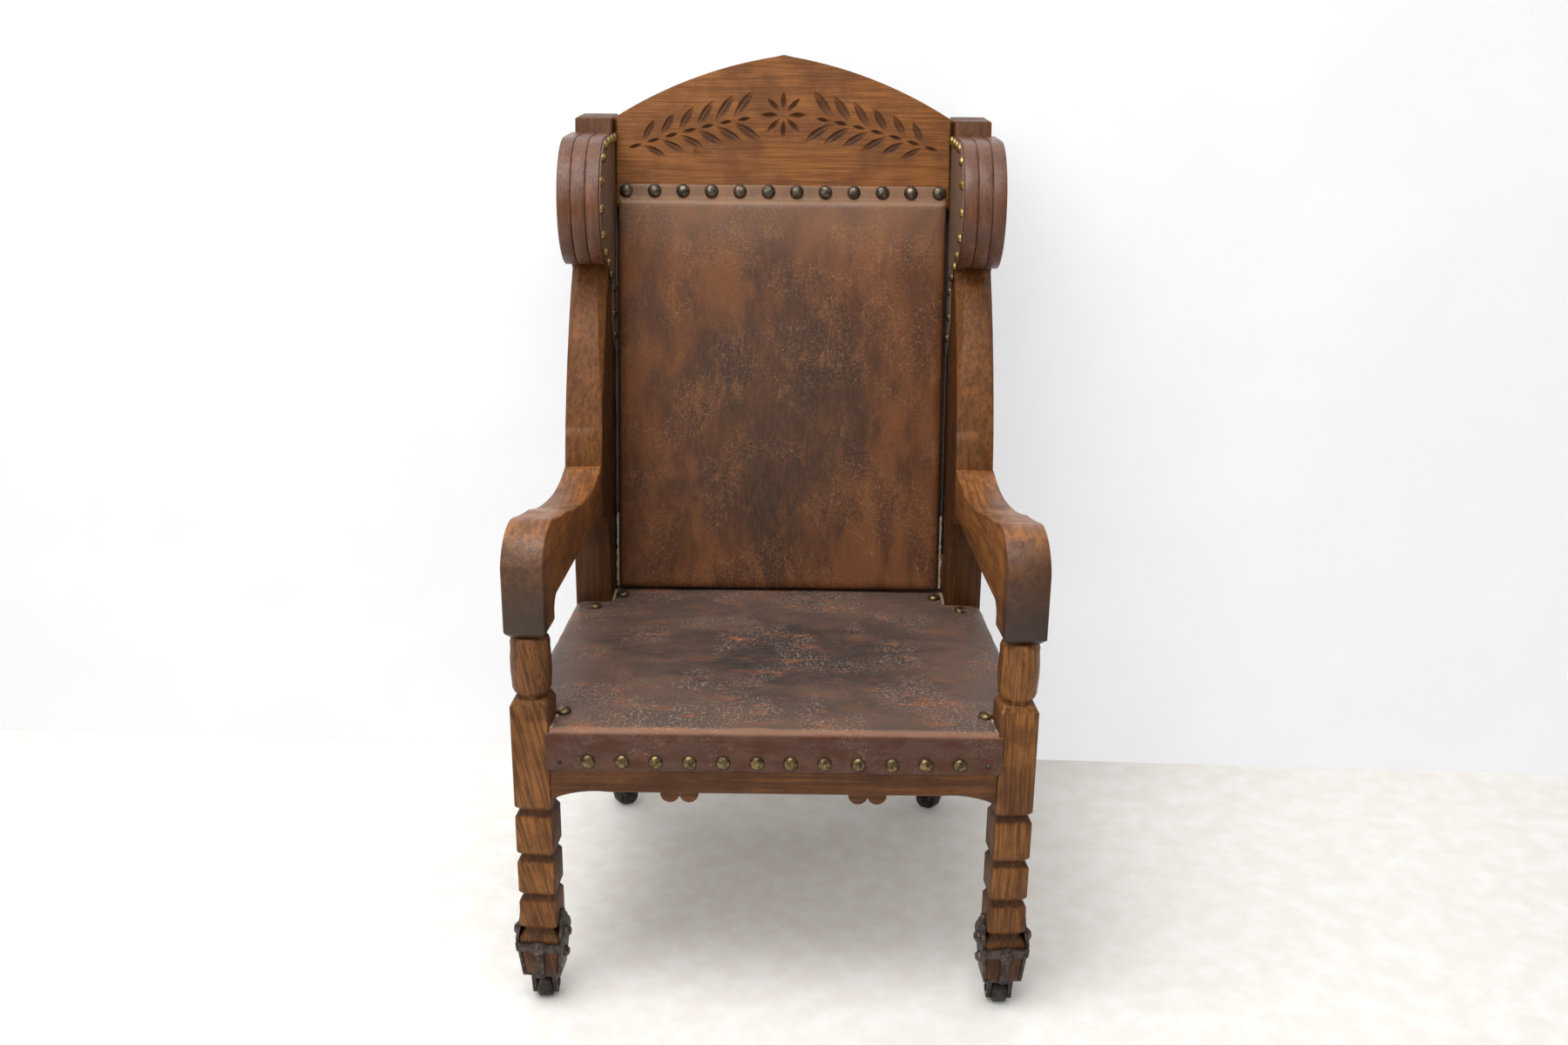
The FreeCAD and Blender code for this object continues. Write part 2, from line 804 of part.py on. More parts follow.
def front_rail():
    half = leg_x - leg_half * (leg_cos - leg_sin)
    low = rail_bottom - rail_end_drop
    sweep_x = half - rail_end_run * (1 - rail_sweep_shares[0])
    sweep_z = low + rail_end_drop * rail_sweep_shares[1]
    flat_x = half - rail_end_run
    face = outline(front(-half, low),
                   [front(-half, rail_top)],
                   [front(half, rail_top)],
                   [front(half, low)],
                   *arc_steps(front(half, low), front(sweep_x, sweep_z), front(flat_x, rail_bottom), rail_steps),
                   [front(-flat_x, rail_bottom)],
                   *arc_steps(front(-flat_x, rail_bottom), front(-sweep_x, sweep_z), front(-half, low),
                              rail_steps))
    rail = thickened(moved(face, 0, rail_front, 0), V(0, rail_thick, 0))
    lower = [edge for edge in rail.Edges
             if max(vertex.Y for vertex in edge.Vertexes) < rail_front + tenon_gap
             and max(vertex.Z for vertex in edge.Vertexes) < rail_bottom + tenon_gap]
    rail = rail.makeChamfer(rail_chamfer, lower)
    rail = fused([rail, pendant(-pendant_x), pendant(pendant_x)])
    rail = rail.cut([leg_prism(), mirrored(leg_prism())])
    inside = box(0, leg_x - leg_half * (leg_cos + leg_sin) - overrun / 2,
                 rail_front - overrun, rail_front + rail_thick + overrun, 0, seat_height)
    clipped = front_rail_tenon().cut(inside)
    return fused([rail, clipped, mirrored(clipped)])


def pendant(centre):
    # Two round lobes side by side, with a small notch between them.
    quarter = pendant_width / 4
    low = rail_bottom - pendant_drop
    high = rail_bottom + pendant_drop
    shoulder = low + quarter * lobe_shares[0]
    reach = quarter * lobe_shares[1]
    lobes = outline(front(centre - 2 * quarter, high),
                    [front(centre - 2 * quarter, shoulder)],
                    *arc_steps(front(centre - 2 * quarter, shoulder), front(centre - reach, low),
                               front(centre, shoulder), lobe_steps),
                    *arc_steps(front(centre, shoulder), front(centre + reach, low),
                               front(centre + 2 * quarter, shoulder), lobe_steps),
                    [front(centre + 2 * quarter, high)])
    return thickened(moved(lobes, 0, rail_front + rail_chamfer, 0), V(0, pendant_thick, 0))


def side_rail():
    outer = side_rail_lines()
    inner = side_rail_lines(rail_thick)
    y0 = leg_y + overrun
    y1 = post_front_low(rail_bottom) + overrun
    face = outline(plan(outer(y0), y0, rail_bottom), [plan(outer(y1), y1, rail_bottom)],
                   [plan(inner(y1), y1, rail_bottom)], [plan(inner(y0), y0, rail_bottom)])
    rail = thickened(face, V(0, 0, rail_top - rail_bottom))
    rail = rail.cut([leg_prism(), post_zone(0)])
    tenons = [side_rail_tenon().cut(box(0, 2 * leg_x, leg_y + leg_half * (leg_cos + leg_sin) + overrun / 2,
                                        post_front_seat, 0, seat_height)),
              side_rail_tenon(0, True)]
    return fused([rail] + tenons)


def post_zone(grow):
    # The space of the post at the seat, from its raking front face backwards.
    low = skirt_bottom - 2 * skirt_drop
    face = outline(side(post_front_low(low) - grow, low),
                   [side(post_front_seat - grow, post_knee)],
                   [side(post_front_seat - grow, block_top)],
                   [side(post_back(post_top), block_top)],
                   [side(post_back(post_top), low)])
    return thickened(moved(face, post_inner - grow, 0, 0), V(post_thick * 2, 0, 0))


def rear_rail():
    rail = box(-post_inner, post_inner, rear_rail_y, rear_rail_y + rail_thick, rail_bottom, rail_top)
    tenon = rear_rail_tenon()
    return fused([rail, tenon, mirrored(tenon)])


def corner_blocks(rails):
    blocks = []
    z = (rail_top + rail_bottom - corner_block_high) / 2
    inner = side_rail_lines(rail_thick)
    front_y = rail_front + rail_thick
    corners = [(inner(front_y + corner_block), front_y, 1),
               (inner(rear_rail_y - corner_block), rear_rail_y, -1)]
    for x, y, way in corners:
        reach = corner_block
        face = outline(plan(x + reach, y, z), [plan(x - reach, y, z)],
                       [plan(x + reach, y + way * 2 * reach, z)])
        block = thickened(face, V(0, 0, corner_block_high))
        block = block.cut(rails + [leg_prism(), post_zone(0)])
        solid = min(block.Solids, key=lambda piece: piece.BoundBox.XMin)
        blocks += [solid, mirrored(solid)]
    return Part.makeCompound(blocks)


# Back frame


def bar_middle():
    return back_half - seat_gap - leather_thick - back_bar_width / 2


def bar_tenons(grow=0):
    half = bar_tenon_width / 2 + grow
    thick = crest_tenon_thick / 2 + grow
    middle = crest_thick / 2
    tenons = []
    for centre in (-bar_middle(), bar_middle()):
        tenons.append(box(centre - half, centre + half, middle - thick, middle + thick,
                          back_rail_high - bar_tenon_deep - grow, back_rail_high + overrun))
        tenons.append(box(centre - half, centre + half, middle - thick, middle + thick,
                          crest_bottom - overrun, crest_bottom + bar_tenon_deep + grow))
    return tenons


def crest_arc(end_x, end_v, mid_x, mid_v, share):
    return front((end_x + mid_x) / 2, end_v + (mid_v - end_v) * share)


def crest_board():
    nib = crest_peak + crest_nib
    face = outline(front(-post_inner, crest_bottom),
                   [front(post_inner, crest_bottom)],
                   [front(post_inner, crest_end)],
                   [crest_arc(post_inner, crest_end, crest_nib_half, crest_peak, crest_bow_share),
                    front(crest_nib_half, crest_peak)],
                   [front(0, nib)],
                   [front(-crest_nib_half, crest_peak)],
                   [crest_arc(-post_inner, crest_end, -crest_nib_half, crest_peak, crest_bow_share),
                    front(-post_inner, crest_end)])
    board = thickened(face, V(0, crest_thick, 0))
    ends = [edge for edge in board.Edges
            if max(vertex.Y for vertex in edge.Vertexes) < tenon_gap
            and min(abs(vertex.X) for vertex in edge.Vertexes) > post_inner - tenon_gap]
    board = board.makeChamfer(crest_ease, ends)
    board = board.cut(bar_tenons(tenon_gap))
    tenon = crest_tenon()
    return fused([on_back(board), tenon, mirrored(tenon)])


def back_bottom_rail():
    rail = box(-post_inner, post_inner, 0, crest_thick, back_rail_low, back_rail_high)
    rail = rail.cut(bar_tenons(tenon_gap))
    tenon = back_rail_tenon_block()
    return fused([on_back(rail), tenon, mirrored(tenon)])


def back_bars():
    half = back_bar_width / 2
    bars = []
    for centre in (-bar_middle(), bar_middle()):
        stick = box(centre - half, centre + half, 0, crest_thick, back_rail_high, crest_bottom)
        ends = [tenon for tenon in bar_tenons() if abs(tenon.CenterOfMass.x - centre) < half]
        bars.append(on_back(fused([stick] + ends)))
    return bars


# Webbing, stuffing and leather


def sheet_with_holes(sheet, start_x, end_x, start_y, end_y):
    pitch = webbing_band + webbing_space
    holes = []
    across = int((end_x - start_x - webbing_band) // pitch)
    along = int((end_y - start_y - webbing_band) // pitch)
    edge_x = (end_x - start_x - across * pitch + webbing_space) / 2 - webbing_space / 2
    edge_y = (end_y - start_y - along * pitch + webbing_space) / 2 - webbing_space / 2
    for column in range(across):
        for row in range(along):
            x = start_x + edge_x + webbing_band / 2 + column * pitch
            y = start_y + edge_y + webbing_band / 2 + row * pitch
            holes.append(sheet(x, x + webbing_space, y, y + webbing_space))
    return holes


def seat_ring(inset, z):
    # Outline over the rails: positive inset lies inside the outer faces of the rails.
    outer = side_rail_lines(inset)
    y0 = rail_front + inset
    y1 = rear_rail_y + rail_thick - inset
    return [plan(-outer(y0), y0, z), plan(outer(y0), y0, z), plan(outer(y1), y1, z), plan(-outer(y1), y1, z)]


def seat_form(inset, low, drop):
    # Padded top: eased edges and a low crown in flat steps.
    rings = [seat_ring(inset, low)]
    for inward, up in crown_steps:
        rings.append(seat_ring(inset + inward, seat_height - drop + up))
    return skinned(rings)


def seat_corners(gap):
    # Everything outside the seat at the legs and posts, but for the lap over the front of the legs.
    reach = leg_thick * 2
    near = leg_half + gap
    low = skirt_bottom - reach
    high = block_top + reach
    leg = placed_leg(box(-near, reach, -near, near, low, high))
    before = placed_leg(box(leather_lap - leg_half, reach, -reach, near, low, high))
    post = post_zone(gap)
    return [leg, mirrored(leg), before, mirrored(before), post, mirrored(post)]


def seat_leather():
    skin = seat_gap + leather_thick
    outside = seat_form(-skin, skirt_bottom, 0)
    inside = seat_form(-seat_gap, skirt_bottom - overrun, leather_thick)
    return outside.cut([inside] + seat_corners(seat_gap))


def seat_stuffing():
    low = rail_top + webbing_thick + 2 * seat_gap
    return seat_form(0, low, leather_thick + seat_gap).cut(seat_corners(leather_thick))


def seat_webbing():
    low = rail_top + seat_gap
    sheet = skinned([seat_ring(webbing_inset, low), seat_ring(webbing_inset, low + webbing_thick)])
    inner = side_rail_lines(webbing_inset)(rear_rail_y)
    holes = sheet_with_holes(lambda x0, x1, y0, y1: box(x0, x1, y0, y1, low - overrun, low + overrun),
                             -inner, inner, rail_front + rail_thick, rear_rail_y)
    return sheet.cut(holes + seat_corners(leather_thick))


def back_ring(inset, y):
    half = back_half - inset
    low = pad_low + inset
    high = pad_high - inset
    return [V(-half, y, low), V(half, y, low), V(half, y, high), V(-half, y, high)]


def back_form(inset, deep=wrap_deep):
    # Padded front of the back: eased edges and a low crown in flat steps.
    rings = [back_ring(inset, deep)]
    for inward, out in back_crown_steps:
        rings.append(back_ring(inset + inward, inset - pad_thick - out))
    return skinned(rings)


def back_leather():
    shell = back_form(0).cut(back_form(leather_thick, wrap_deep + overrun))
    crest = box(-post_inner, post_inner, -seat_gap, crest_thick, crest_bottom - seat_gap, strip_high)
    rail = box(-post_inner, post_inner, -seat_gap, crest_thick,
               back_rail_low - seat_gap, back_rail_high + seat_gap)
    shell = shell.cut([crest, rail])
    strip = box(-back_half, back_half, -seat_gap - leather_thick, -seat_gap,
                pad_high - leather_thick, strip_high)
    return on_back(fused([shell, strip]))


def back_stuffing():
    pad = back_form(leather_thick + seat_gap)
    low = -2 * seat_gap - webbing_thick
    return on_back(pad.cut(box(-post_inner, post_inner, low, pad_high, 0, pad_high)))


def back_webbing():
    half = back_half - leather_thick - back_web_inset
    low = back_rail_low + back_web_inset
    high = pad_high - leather_thick - back_web_inset
    sheet = box(-half, half, -seat_gap - webbing_thick, -seat_gap, low, high)
    inner = bar_middle() - back_bar_width / 2
    holes = sheet_with_holes(lambda x0, x1, z0, z1: box(x0, x1, -overrun, overrun, z0, z1),
                             -inner, inner, back_rail_high, crest_bottom)
    return on_back(sheet.cut(holes))


def back_outer_cover():
    half = post_inner - cover_inset
    near = crest_thick + seat_gap
    return on_back(box(-half, half, near, near + leather_thick, cover_low, cover_high))


def wing_leather():
    radius = ear_radius - wing_edge
    top = ear_top - wing_edge
    tail_front = back_plane(wing_tail_top) - wing_tail
    low_front = back_plane(wing_tail_high) - wing_tail
    low_back = back_plane(wing_tail_low) - seat_gap
    bow = wing_tail * (1 - math.sqrt(2) / 2)
    start = side(ear_centre_y, top)
    end = side(ear_centre_y, ear_centre_z - radius)
    tail = side(low_front, wing_tail_high)
    face = outline(side(back_plane(top) - seat_gap, top),
                   [start],
                   *arc_steps(start, side(ear_centre_y - radius, ear_centre_z), end, ear_sides),
                   [side(tail_front, wing_tail_top)],
                   [tail],
                   *arc_steps(tail, side(low_front + bow, wing_tail_low + wing_tail - bow),
                              side(low_back, wing_tail_low), rail_steps))
    outer = post_inner - seat_gap
    return thickened(moved(face, outer - leather_thick, 0, 0), V(leather_thick, 0, 0))


# Dome nails, drawn with few flat faces


def nail(radius, height, spot, direction):
    return dome(radius, height, spot, direction, nail_shares, few_sides)


def hidden_nail(radius, height, spot, direction):
    return dome(radius, height, spot, direction, hidden_nail_shares, hidden_nail_sides)


def spread(first, last, pitch):
    count = max(1, round(abs(last - first) / pitch))
    return [first + (last - first) * step / count for step in range(count + 1)]


def seat_front_nails():
    y = rail_front - seat_gap - leather_thick - seat_gap
    z = skirt_bottom + nail_edge
    first = -nail_pitch * (nail_count - 1) / 2
    return [nail(nail_radius, nail_height, V(first + nail_pitch * number, y, z), Y_AXIS * -1)
            for number in range(nail_count)]


def back_top_nails():
    first = -nail_pitch * (nail_count - 1) / 2
    near = -2 * seat_gap - leather_thick
    spots = [V(first + nail_pitch * number, near, strip_high - nail_edge) for number in range(nail_count)]
    return [on_back(nail(nail_radius, nail_height, spot, Y_AXIS * -1)) for spot in spots]


def seat_corner_nails():
    front_x = leg_x - leg_half - corner_nail_in
    front_y = leg_y + leg_half
    spots = [(front_x, front_y),
             (post_inner - rear_nail_in, post_front_seat + rear_nail_back),
             (post_inner + post_nail_out, post_front_seat - post_nail_front)]
    padded = seat_leather()
    nails = []
    for x, y in spots:
        probe = padded.common(rod(nail_radius, block_top, V(x, y, 0)))
        spot = V(x, y, probe.BoundBox.ZMax + seat_gap)
        nails.append(nail(nail_radius, nail_height, spot, Z_AXIS))
    return nails + [mirrored(dome) for dome in nails]


def seat_side_nails():
    z = skirt_bottom + nail_edge
    skin = seat_gap + leather_thick + seat_gap
    outer = side_rail_lines(-skin)
    normal = V(1, -(outer(post_front_seat) - outer(0)) / post_front_seat, 0)
    nails = []
    for y in spread(leg_y + leg_half + corner_nail_back, post_front_seat - corner_nail_in, side_nail_pitch):
        nails.append(hidden_nail(nail_radius, nail_height, V(outer(y), y, z), normal))
    nails += [mirrored(dome) for dome in nails]
    rear = rear_rail_y + rail_thick + skin
    reach = post_inner - corner_nail_back
    for x in spread(-reach, reach, side_nail_pitch):
        nails.append(hidden_nail(nail_radius, nail_height, V(x, rear, z), Y_AXIS))
    return nails


def outside_back_nails():
    near = crest_thick + 2 * seat_gap + leather_thick
    half = post_inner - cover_inset - cover_nail_in
    low = cover_low + cover_nail_in
    high = cover_high - cover_nail_in
    spots = [(x, v) for v in spread(low, high, cover_nail_pitch) for x in (-half, half)]
    spots += [(x, v) for x in spread(-half, half, cover_nail_pitch)[1:-1] for v in (low, high)]
    return [on_back(hidden_nail(wing_nail_radius, wing_nail_height, V(x, near, v), Y_AXIS))
            for x, v in spots]


def wing_nail_path():
    radius = ear_radius - wing_nail_inset
    top = ear_centre_z + radius
    start = back_plane(top) - wing_nail_start
    points = [(start, top), (ear_centre_y, top)]
    for step in range(1, wing_path_steps - wing_path_short):
        angle = math.pi / 2 + math.pi * step / wing_path_steps
        points.append((ear_centre_y + radius * math.cos(angle), ear_centre_z + radius * math.sin(angle)))
    for z in (wing_tail_top, wing_tail_high):
        points.append((back_plane(z) - wing_tail + wing_nail_inset, z))
    points.append((back_plane(wing_tail_low), wing_tail_low + 2 * wing_nail_inset))
    return points


def wing_nails():
    points = wing_nail_path()
    near = post_inner - 2 * seat_gap - leather_thick
    nails = []
    travelled = 0
    due = 0
    for (ay, az), (by, bz) in zip(points, points[1:]):
        length = math.hypot(by - ay, bz - az)
        while due <= travelled + length:
            share = (due - travelled) / length
            spot = V(near, ay + (by - ay) * share, az + (bz - az) * share)
            nails.append(hidden_nail(wing_nail_radius, wing_nail_height, spot, X_AXIS * -1))
            due += wing_nail_pitch
        travelled += length
    return nails


# Iron shoes and casters, drawn with the foot's axis at x = y = 0


def shoe_sections(grow):
    widths = [(foot_bottom, foot_width_bottom), (foot_strap_top, foot_width),
              (low_groove + notch_lower, leg_thick), (plate_peak, leg_thick)]
    return [(z, width + 2 * grow) for z, width in widths]


def square_stack(sections):
    return skinned([rectangle(-size / 2, size / 2, -size / 2, size / 2, z) for z, size in sections])


def shoe_hull():
    grow = seat_gap + shoe_thick
    sections = shoe_sections(grow)
    sections[0] = (base_bottom, foot_width_bottom + 2 * grow)
    return square_stack(sections)


def shoe_hollow():
    sections = shoe_sections(seat_gap)
    sections[0] = (foot_bottom - seat_gap, sections[0][1])
    sections.append((plate_peak + overrun, leg_thick + 2 * seat_gap))
    return square_stack(sections)


def plate_outline():
    # Side plate with three scallops up each side to its peak.
    rise = plate_peak - bolt_z
    starts = [side(plate_half, bolt_z)]
    right = []
    for wide, high in scallop_shares:
        here = starts[-1]
        there = side(plate_half * wide, bolt_z + rise * high)
        run = there - here
        middle = (here + there) / 2 + V(0, run.z, -run.y).normalize() * scallop_bulge
        right += arc_steps(here, middle, there, scallop_steps)
        starts.append(there)
    edge = [starts[0]] + [step[0] for step in right]
    left = [[side(-point.y, point.z)] for point in reversed(edge[:-1])]
    return outline(side(plate_half_bottom, base_bottom),
                   [starts[0]], *right, *left,
                   [side(-plate_half_bottom, base_bottom)])


def shoe_bolts_at():
    # (direction in plan, height, head radius, head height), with +X on the outer side of the chair
    return [(X_AXIS, bolt_z, big_bolt_radius, big_bolt_head),
            (X_AXIS * -1, bolt_z, bolt_radius, bolt_head),
            (X_AXIS * -1, low_bolt_z, bolt_radius, bolt_head),
            (Y_AXIS * -1, strap_bolt_z, strap_bolt_radius, strap_bolt_head),
            (Y_AXIS, strap_bolt_z, strap_bolt_radius, strap_bolt_head)]


def hull_half(z):
    share = (z - foot_bottom) / (foot_strap_top - foot_bottom)
    return foot_width_bottom / 2 + share * (foot_width - foot_width_bottom) / 2 + seat_gap + shoe_thick


def bolt_hole(direction, z):
    reach = hull_half(z)
    return rod(bolt_shank + bolt_gap, bolt_grip + bolt_gap + overrun,
               direction * (reach - bolt_grip - bolt_gap) + V(0, 0, z), direction)


def shoe_bolt_holes(x, y, turn):
    return [moved(turned(bolt_hole(direction, z), turn), x, y, 0)
            for direction, z, radius, head in shoe_bolts_at()]


def shoe():
    wide = foot_width
    shell = shoe_hull().cut(shoe_hollow())
    plates = thickened(moved(plate_outline(), -wide, 0, 0), V(2 * wide, 0, 0))
    band = box(-wide, wide, -wide, wide, strap_top - strap_high, strap_top)
    stem = box(-strap_stem / 2, strap_stem / 2, -wide, wide, base_bottom, strap_top - strap_high)
    swelling = rod(strap_boss, 2 * wide, V(0, -wide, strap_bolt_z), Y_AXIS, more_sides)
    base = box(-wide, wide, -plate_half_bottom, plate_half_bottom, base_bottom, foot_bottom - seat_gap)
    keep_zone = plates.multiFuse([band, stem, swelling, base])
    iron = shell.common(keep_zone)
    boss = rod(boss_radius, base_bottom - boss_bottom, V(0, 0, boss_bottom), Z_AXIS, more_sides)
    iron = fused([iron, boss])
    bore = rod(stem_radius + running_gap, foot_bottom - crown_top, V(0, 0, crown_top), Z_AXIS, more_sides)
    return iron.cut([bore] + [bolt_hole(direction, z) for direction, z, radius, head in shoe_bolts_at()])


def shoe_bolts():
    hull = shoe_hull()
    bolts = []
    for direction, z, radius, head in shoe_bolts_at():
        reach = hull_half(z)
        seat = direction * reach + V(0, 0, z)
        under = rod(radius, overrun, seat - direction * overrun, direction)
        cap = fused([under, dome(radius, head, seat, direction, bolt_shares, few_sides)])
        shank = rod(bolt_shank, bolt_grip + head / 2, seat - direction * bolt_grip, direction)
        bolts.append(fused([cap.cut(hull), shank]))
    return bolts


def fork():
    crown = box(-cheek_outer, cheek_outer, -fork_crown_half, caster_trail + fork_crown_half,
                crown_bottom, crown_top)
    reach = wheel_radius - fork_tip
    rear = side(caster_trail + reach, wheel_radius)
    toe = side(caster_trail - reach, wheel_radius)
    face = outline(side(-fork_crown_half, crown_top),
                   [side(caster_trail + fork_crown_half, crown_top)],
                   [rear],
                   *arc_steps(rear, side(caster_trail, fork_tip), toe, fork_steps),
                   [side(-fork_crown_half, crown_bottom)])
    cheek = thickened(moved(face, cheek_inner, 0, 0), V(fork_cheek, 0, 0))
    head_low = foot_bottom - seat_gap + side_play
    stem = pin(stem_radius, head_low + stem_head - crown_bottom, V(0, 0, crown_bottom))
    head = rod(stem_head_radius, stem_head, V(0, 0, head_low), Z_AXIS, more_sides)
    hole = rod(axle_radius + running_gap, 2 * cheek_outer + 2 * overrun,
               V(-cheek_outer - overrun, caster_trail, wheel_radius), X_AXIS, more_sides)
    return fused([crown, cheek, mirrored(cheek), stem, head]).cut(hole)


def axle():
    shaft = pin(axle_radius, 2 * cheek_outer, V(-cheek_outer, caster_trail, wheel_radius), X_AXIS)
    heads = [rod(axle_head_radius, axle_head, V(x, caster_trail, wheel_radius), X_AXIS, more_sides)
             for x in (-cheek_outer - axle_head, cheek_outer)]
    return fused([shaft] + heads)


def wheel():
    half = wheel_width / 2
    inner = wheel_radius - wheel_round
    profile = [(0, inner), (wheel_round, wheel_radius),
               (wheel_width - wheel_round, wheel_radius), (wheel_width, inner)]
    tyre = turned_solid(profile, turning_sides, V(-half, caster_trail, wheel_radius), X_AXIS)
    bore = rod(axle_radius + running_gap, wheel_width + 2 * overrun,
               V(-half - overrun, caster_trail, wheel_radius), X_AXIS, more_sides)
    return tyre.cut(bore)


def in_place(shape, spot, turn, mirror):
    there = moved(turned(shape, turn), spot[0], spot[1], 0)
    return mirrored(there) if mirror else there


# The pieces


def keep_pair(name, shape):
    keep(name + "_right", shape)
    keep(name + "_left", mirrored(shape))


right_leg = front_leg()
keep_pair("front_leg", right_leg)
keep_pair("rear_post", rear_post())
keep_pair("scroll_ear", scroll_ear())
right_arm = arm()
keep("arm_left", mirrored(right_arm))
keep("arm_plug_right", plug().common(arm_blank()))
keep("arm_right", right_arm.cut(plug(tenon_gap)))
keep("front_rail", front_rail())
keep("rear_rail", rear_rail())
keep_pair("side_rail", side_rail())
rails = [pieces["front_rail"], pieces["rear_rail"], pieces["side_rail_right"]]
keep("corner_blocks", corner_blocks(rails))
keep("crest_board", crest_board())
keep("back_bottom_rail", back_bottom_rail())
left_bar, right_bar = back_bars()
keep("back_bar_left", left_bar)
keep("back_bar_right", right_bar)
keep("seat_webbing", seat_webbing())
keep("seat_stuffing", seat_stuffing())
keep("seat_leather", seat_leather())
keep("back_webbing", back_webbing())
keep("back_stuffing", back_stuffing())
keep("back_leather", back_leather())
keep("back_outer_cover", back_outer_cover())
keep_pair("wing_leather", wing_leather())
keep("seat_front_nails", Part.makeCompound(seat_front_nails()))
keep("seat_corner_nails", Part.makeCompound(seat_corner_nails()))
keep("seat_side_nails", Part.makeCompound(seat_side_nails()))
keep("back_top_nails", Part.makeCompound(back_top_nails()))
keep("outside_back_nails", Part.makeCompound(outside_back_nails()))
keep_pair("wing_nails", Part.makeCompound(wing_nails()))

feet = [("front_right", (leg_x, leg_y), arm_turn, front_caster_turn, False),
        ("front_left", (leg_x, leg_y), arm_turn, front_caster_turn, True),
        ("rear_right", (rear_foot_x, rear_foot_y), 0, rear_caster_turn, False),
        ("rear_left", (rear_foot_x, rear_foot_y), 0, rear_caster_turn, True)]
for name, spot, foot_turn, caster_turn, mirror in feet:
    keep("shoe_" + name, in_place(shoe(), spot, foot_turn, mirror))
    keep("shoe_bolts_" + name, in_place(Part.makeCompound(shoe_bolts()), spot, foot_turn, mirror))
    keep("fork_" + name, in_place(fork(), spot, caster_turn, mirror))
    keep("axle_" + name, in_place(axle(), spot, caster_turn, mirror))
    keep("wheel_" + name, in_place(wheel(), spot, caster_turn, mirror))

# Origin under the middle of the whole chair, on the floor
room = Part.makeCompound(list(pieces.values())).BoundBox
shift = V(-room.Center.x, -room.Center.y, -room.ZMin)
os.makedirs("parts", exist_ok=True)
for name, shape in pieces.items():
    shape.translate(shift)
    shape.exportStep("parts/" + name + ".step")

print("size", round(room.XLength, 2), round(room.YLength, 2), round(room.ZLength, 2))
print("shift", [round(value, 3) for value in shift])
for name, spot, foot_turn, caster_turn, mirror in feet:
    across = -1 if mirror else 1
    turn = math.radians(caster_turn)
    x = across * spot[0] + shift.x
    y = spot[1] + shift.y
    wheel_x = across * (spot[0] - caster_trail * math.sin(turn)) + shift.x
    wheel_y = y + caster_trail * math.cos(turn)
    print("swivel", name, round(x, 3), round(y, 3))
    print("wheel", name, round(wheel_x, 3), round(wheel_y, 3), round(wheel_radius + shift.z, 3),
          "axis", round(math.cos(turn), 6), round(across * math.sin(turn), 6))
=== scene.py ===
import math

import bpy
import numpy as np
from mathutils import Matrix, Vector, noise


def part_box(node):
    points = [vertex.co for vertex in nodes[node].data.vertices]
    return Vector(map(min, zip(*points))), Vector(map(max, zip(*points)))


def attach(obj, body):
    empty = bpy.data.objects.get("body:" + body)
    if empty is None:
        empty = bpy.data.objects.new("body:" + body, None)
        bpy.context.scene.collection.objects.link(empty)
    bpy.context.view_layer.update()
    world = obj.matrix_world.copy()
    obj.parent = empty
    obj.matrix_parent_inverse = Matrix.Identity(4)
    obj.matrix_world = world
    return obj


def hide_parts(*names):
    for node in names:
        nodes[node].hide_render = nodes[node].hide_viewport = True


MM = 0.001

# The frame: every CAD node at its place, and the box that it fills
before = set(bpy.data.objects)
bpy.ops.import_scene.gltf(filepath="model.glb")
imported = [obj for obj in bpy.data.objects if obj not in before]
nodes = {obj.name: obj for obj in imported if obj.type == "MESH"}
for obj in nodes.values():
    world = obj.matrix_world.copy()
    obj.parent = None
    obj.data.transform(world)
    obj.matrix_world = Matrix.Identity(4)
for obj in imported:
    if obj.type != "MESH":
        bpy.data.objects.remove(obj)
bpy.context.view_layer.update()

# Front legs, in metres; they and the arms point inwards a little
LEG_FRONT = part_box("rear_rail")[0].y - 566 * MM
LEG_HALF = 27 * MM
LEG_TURN = math.radians(4.24)
LEG_AXIS = Vector((334 * MM, LEG_FRONT + LEG_HALF, 0))
NOTCHES = (321, 249, 185, 129)                  # tops of the notches round them, in mm above the floor

# Rear posts
POST_INNER = 276.6 * MM
POST_FRONT = LEG_FRONT + 474.7 * MM

# Frame of the back, from the lower front edge, up its slope and out of its front
RECLINE = math.radians(10.6)
BACK_FOOT = Vector((0, LEG_FRONT + 534 * MM, 452 * MM))
UP_THE_BACK = Vector((0, math.sin(RECLINE), math.cos(RECLINE)))
OUT_OF_THE_BACK = Vector((0, -math.cos(RECLINE), math.sin(RECLINE)))

# Leather and nails
SEAT_TOP = 450 * MM
LEATHER = 2.5 * MM
NAIL_SINK = 3 * MM                              # from the middle of a CAD nail to just under the leather
HEAD_REACH = 24 * MM                            # all points of one nail lie this near to any one of them
HEAD_APART = 16 * MM                            # and no point of another nail this near to its middle

# Wood and iron: sharper corners than this are eased
EDGE_ANGLE = math.radians(32)

# Carved branch on the crest board: the line of its stem, up the slope of the back
BRANCH_HALF = 240 * MM
BRANCH_MIDDLE = 786 * MM
BRANCH_FALL = 51 * MM

# Camera of the photograph, solved from the chair's own sizes
CAMERA_PLACE = Vector((20.9 * MM, LEG_FRONT - 1917.4 * MM, 1396.9 * MM))
CAMERA_YAW = -0.0052
CAMERA_PITCH = 0.324
CAMERA_ROLL = 0.010
FOCAL_PIXELS = 1774.6
PICTURE_WIDTH = 1800
SENSOR_MM = 36

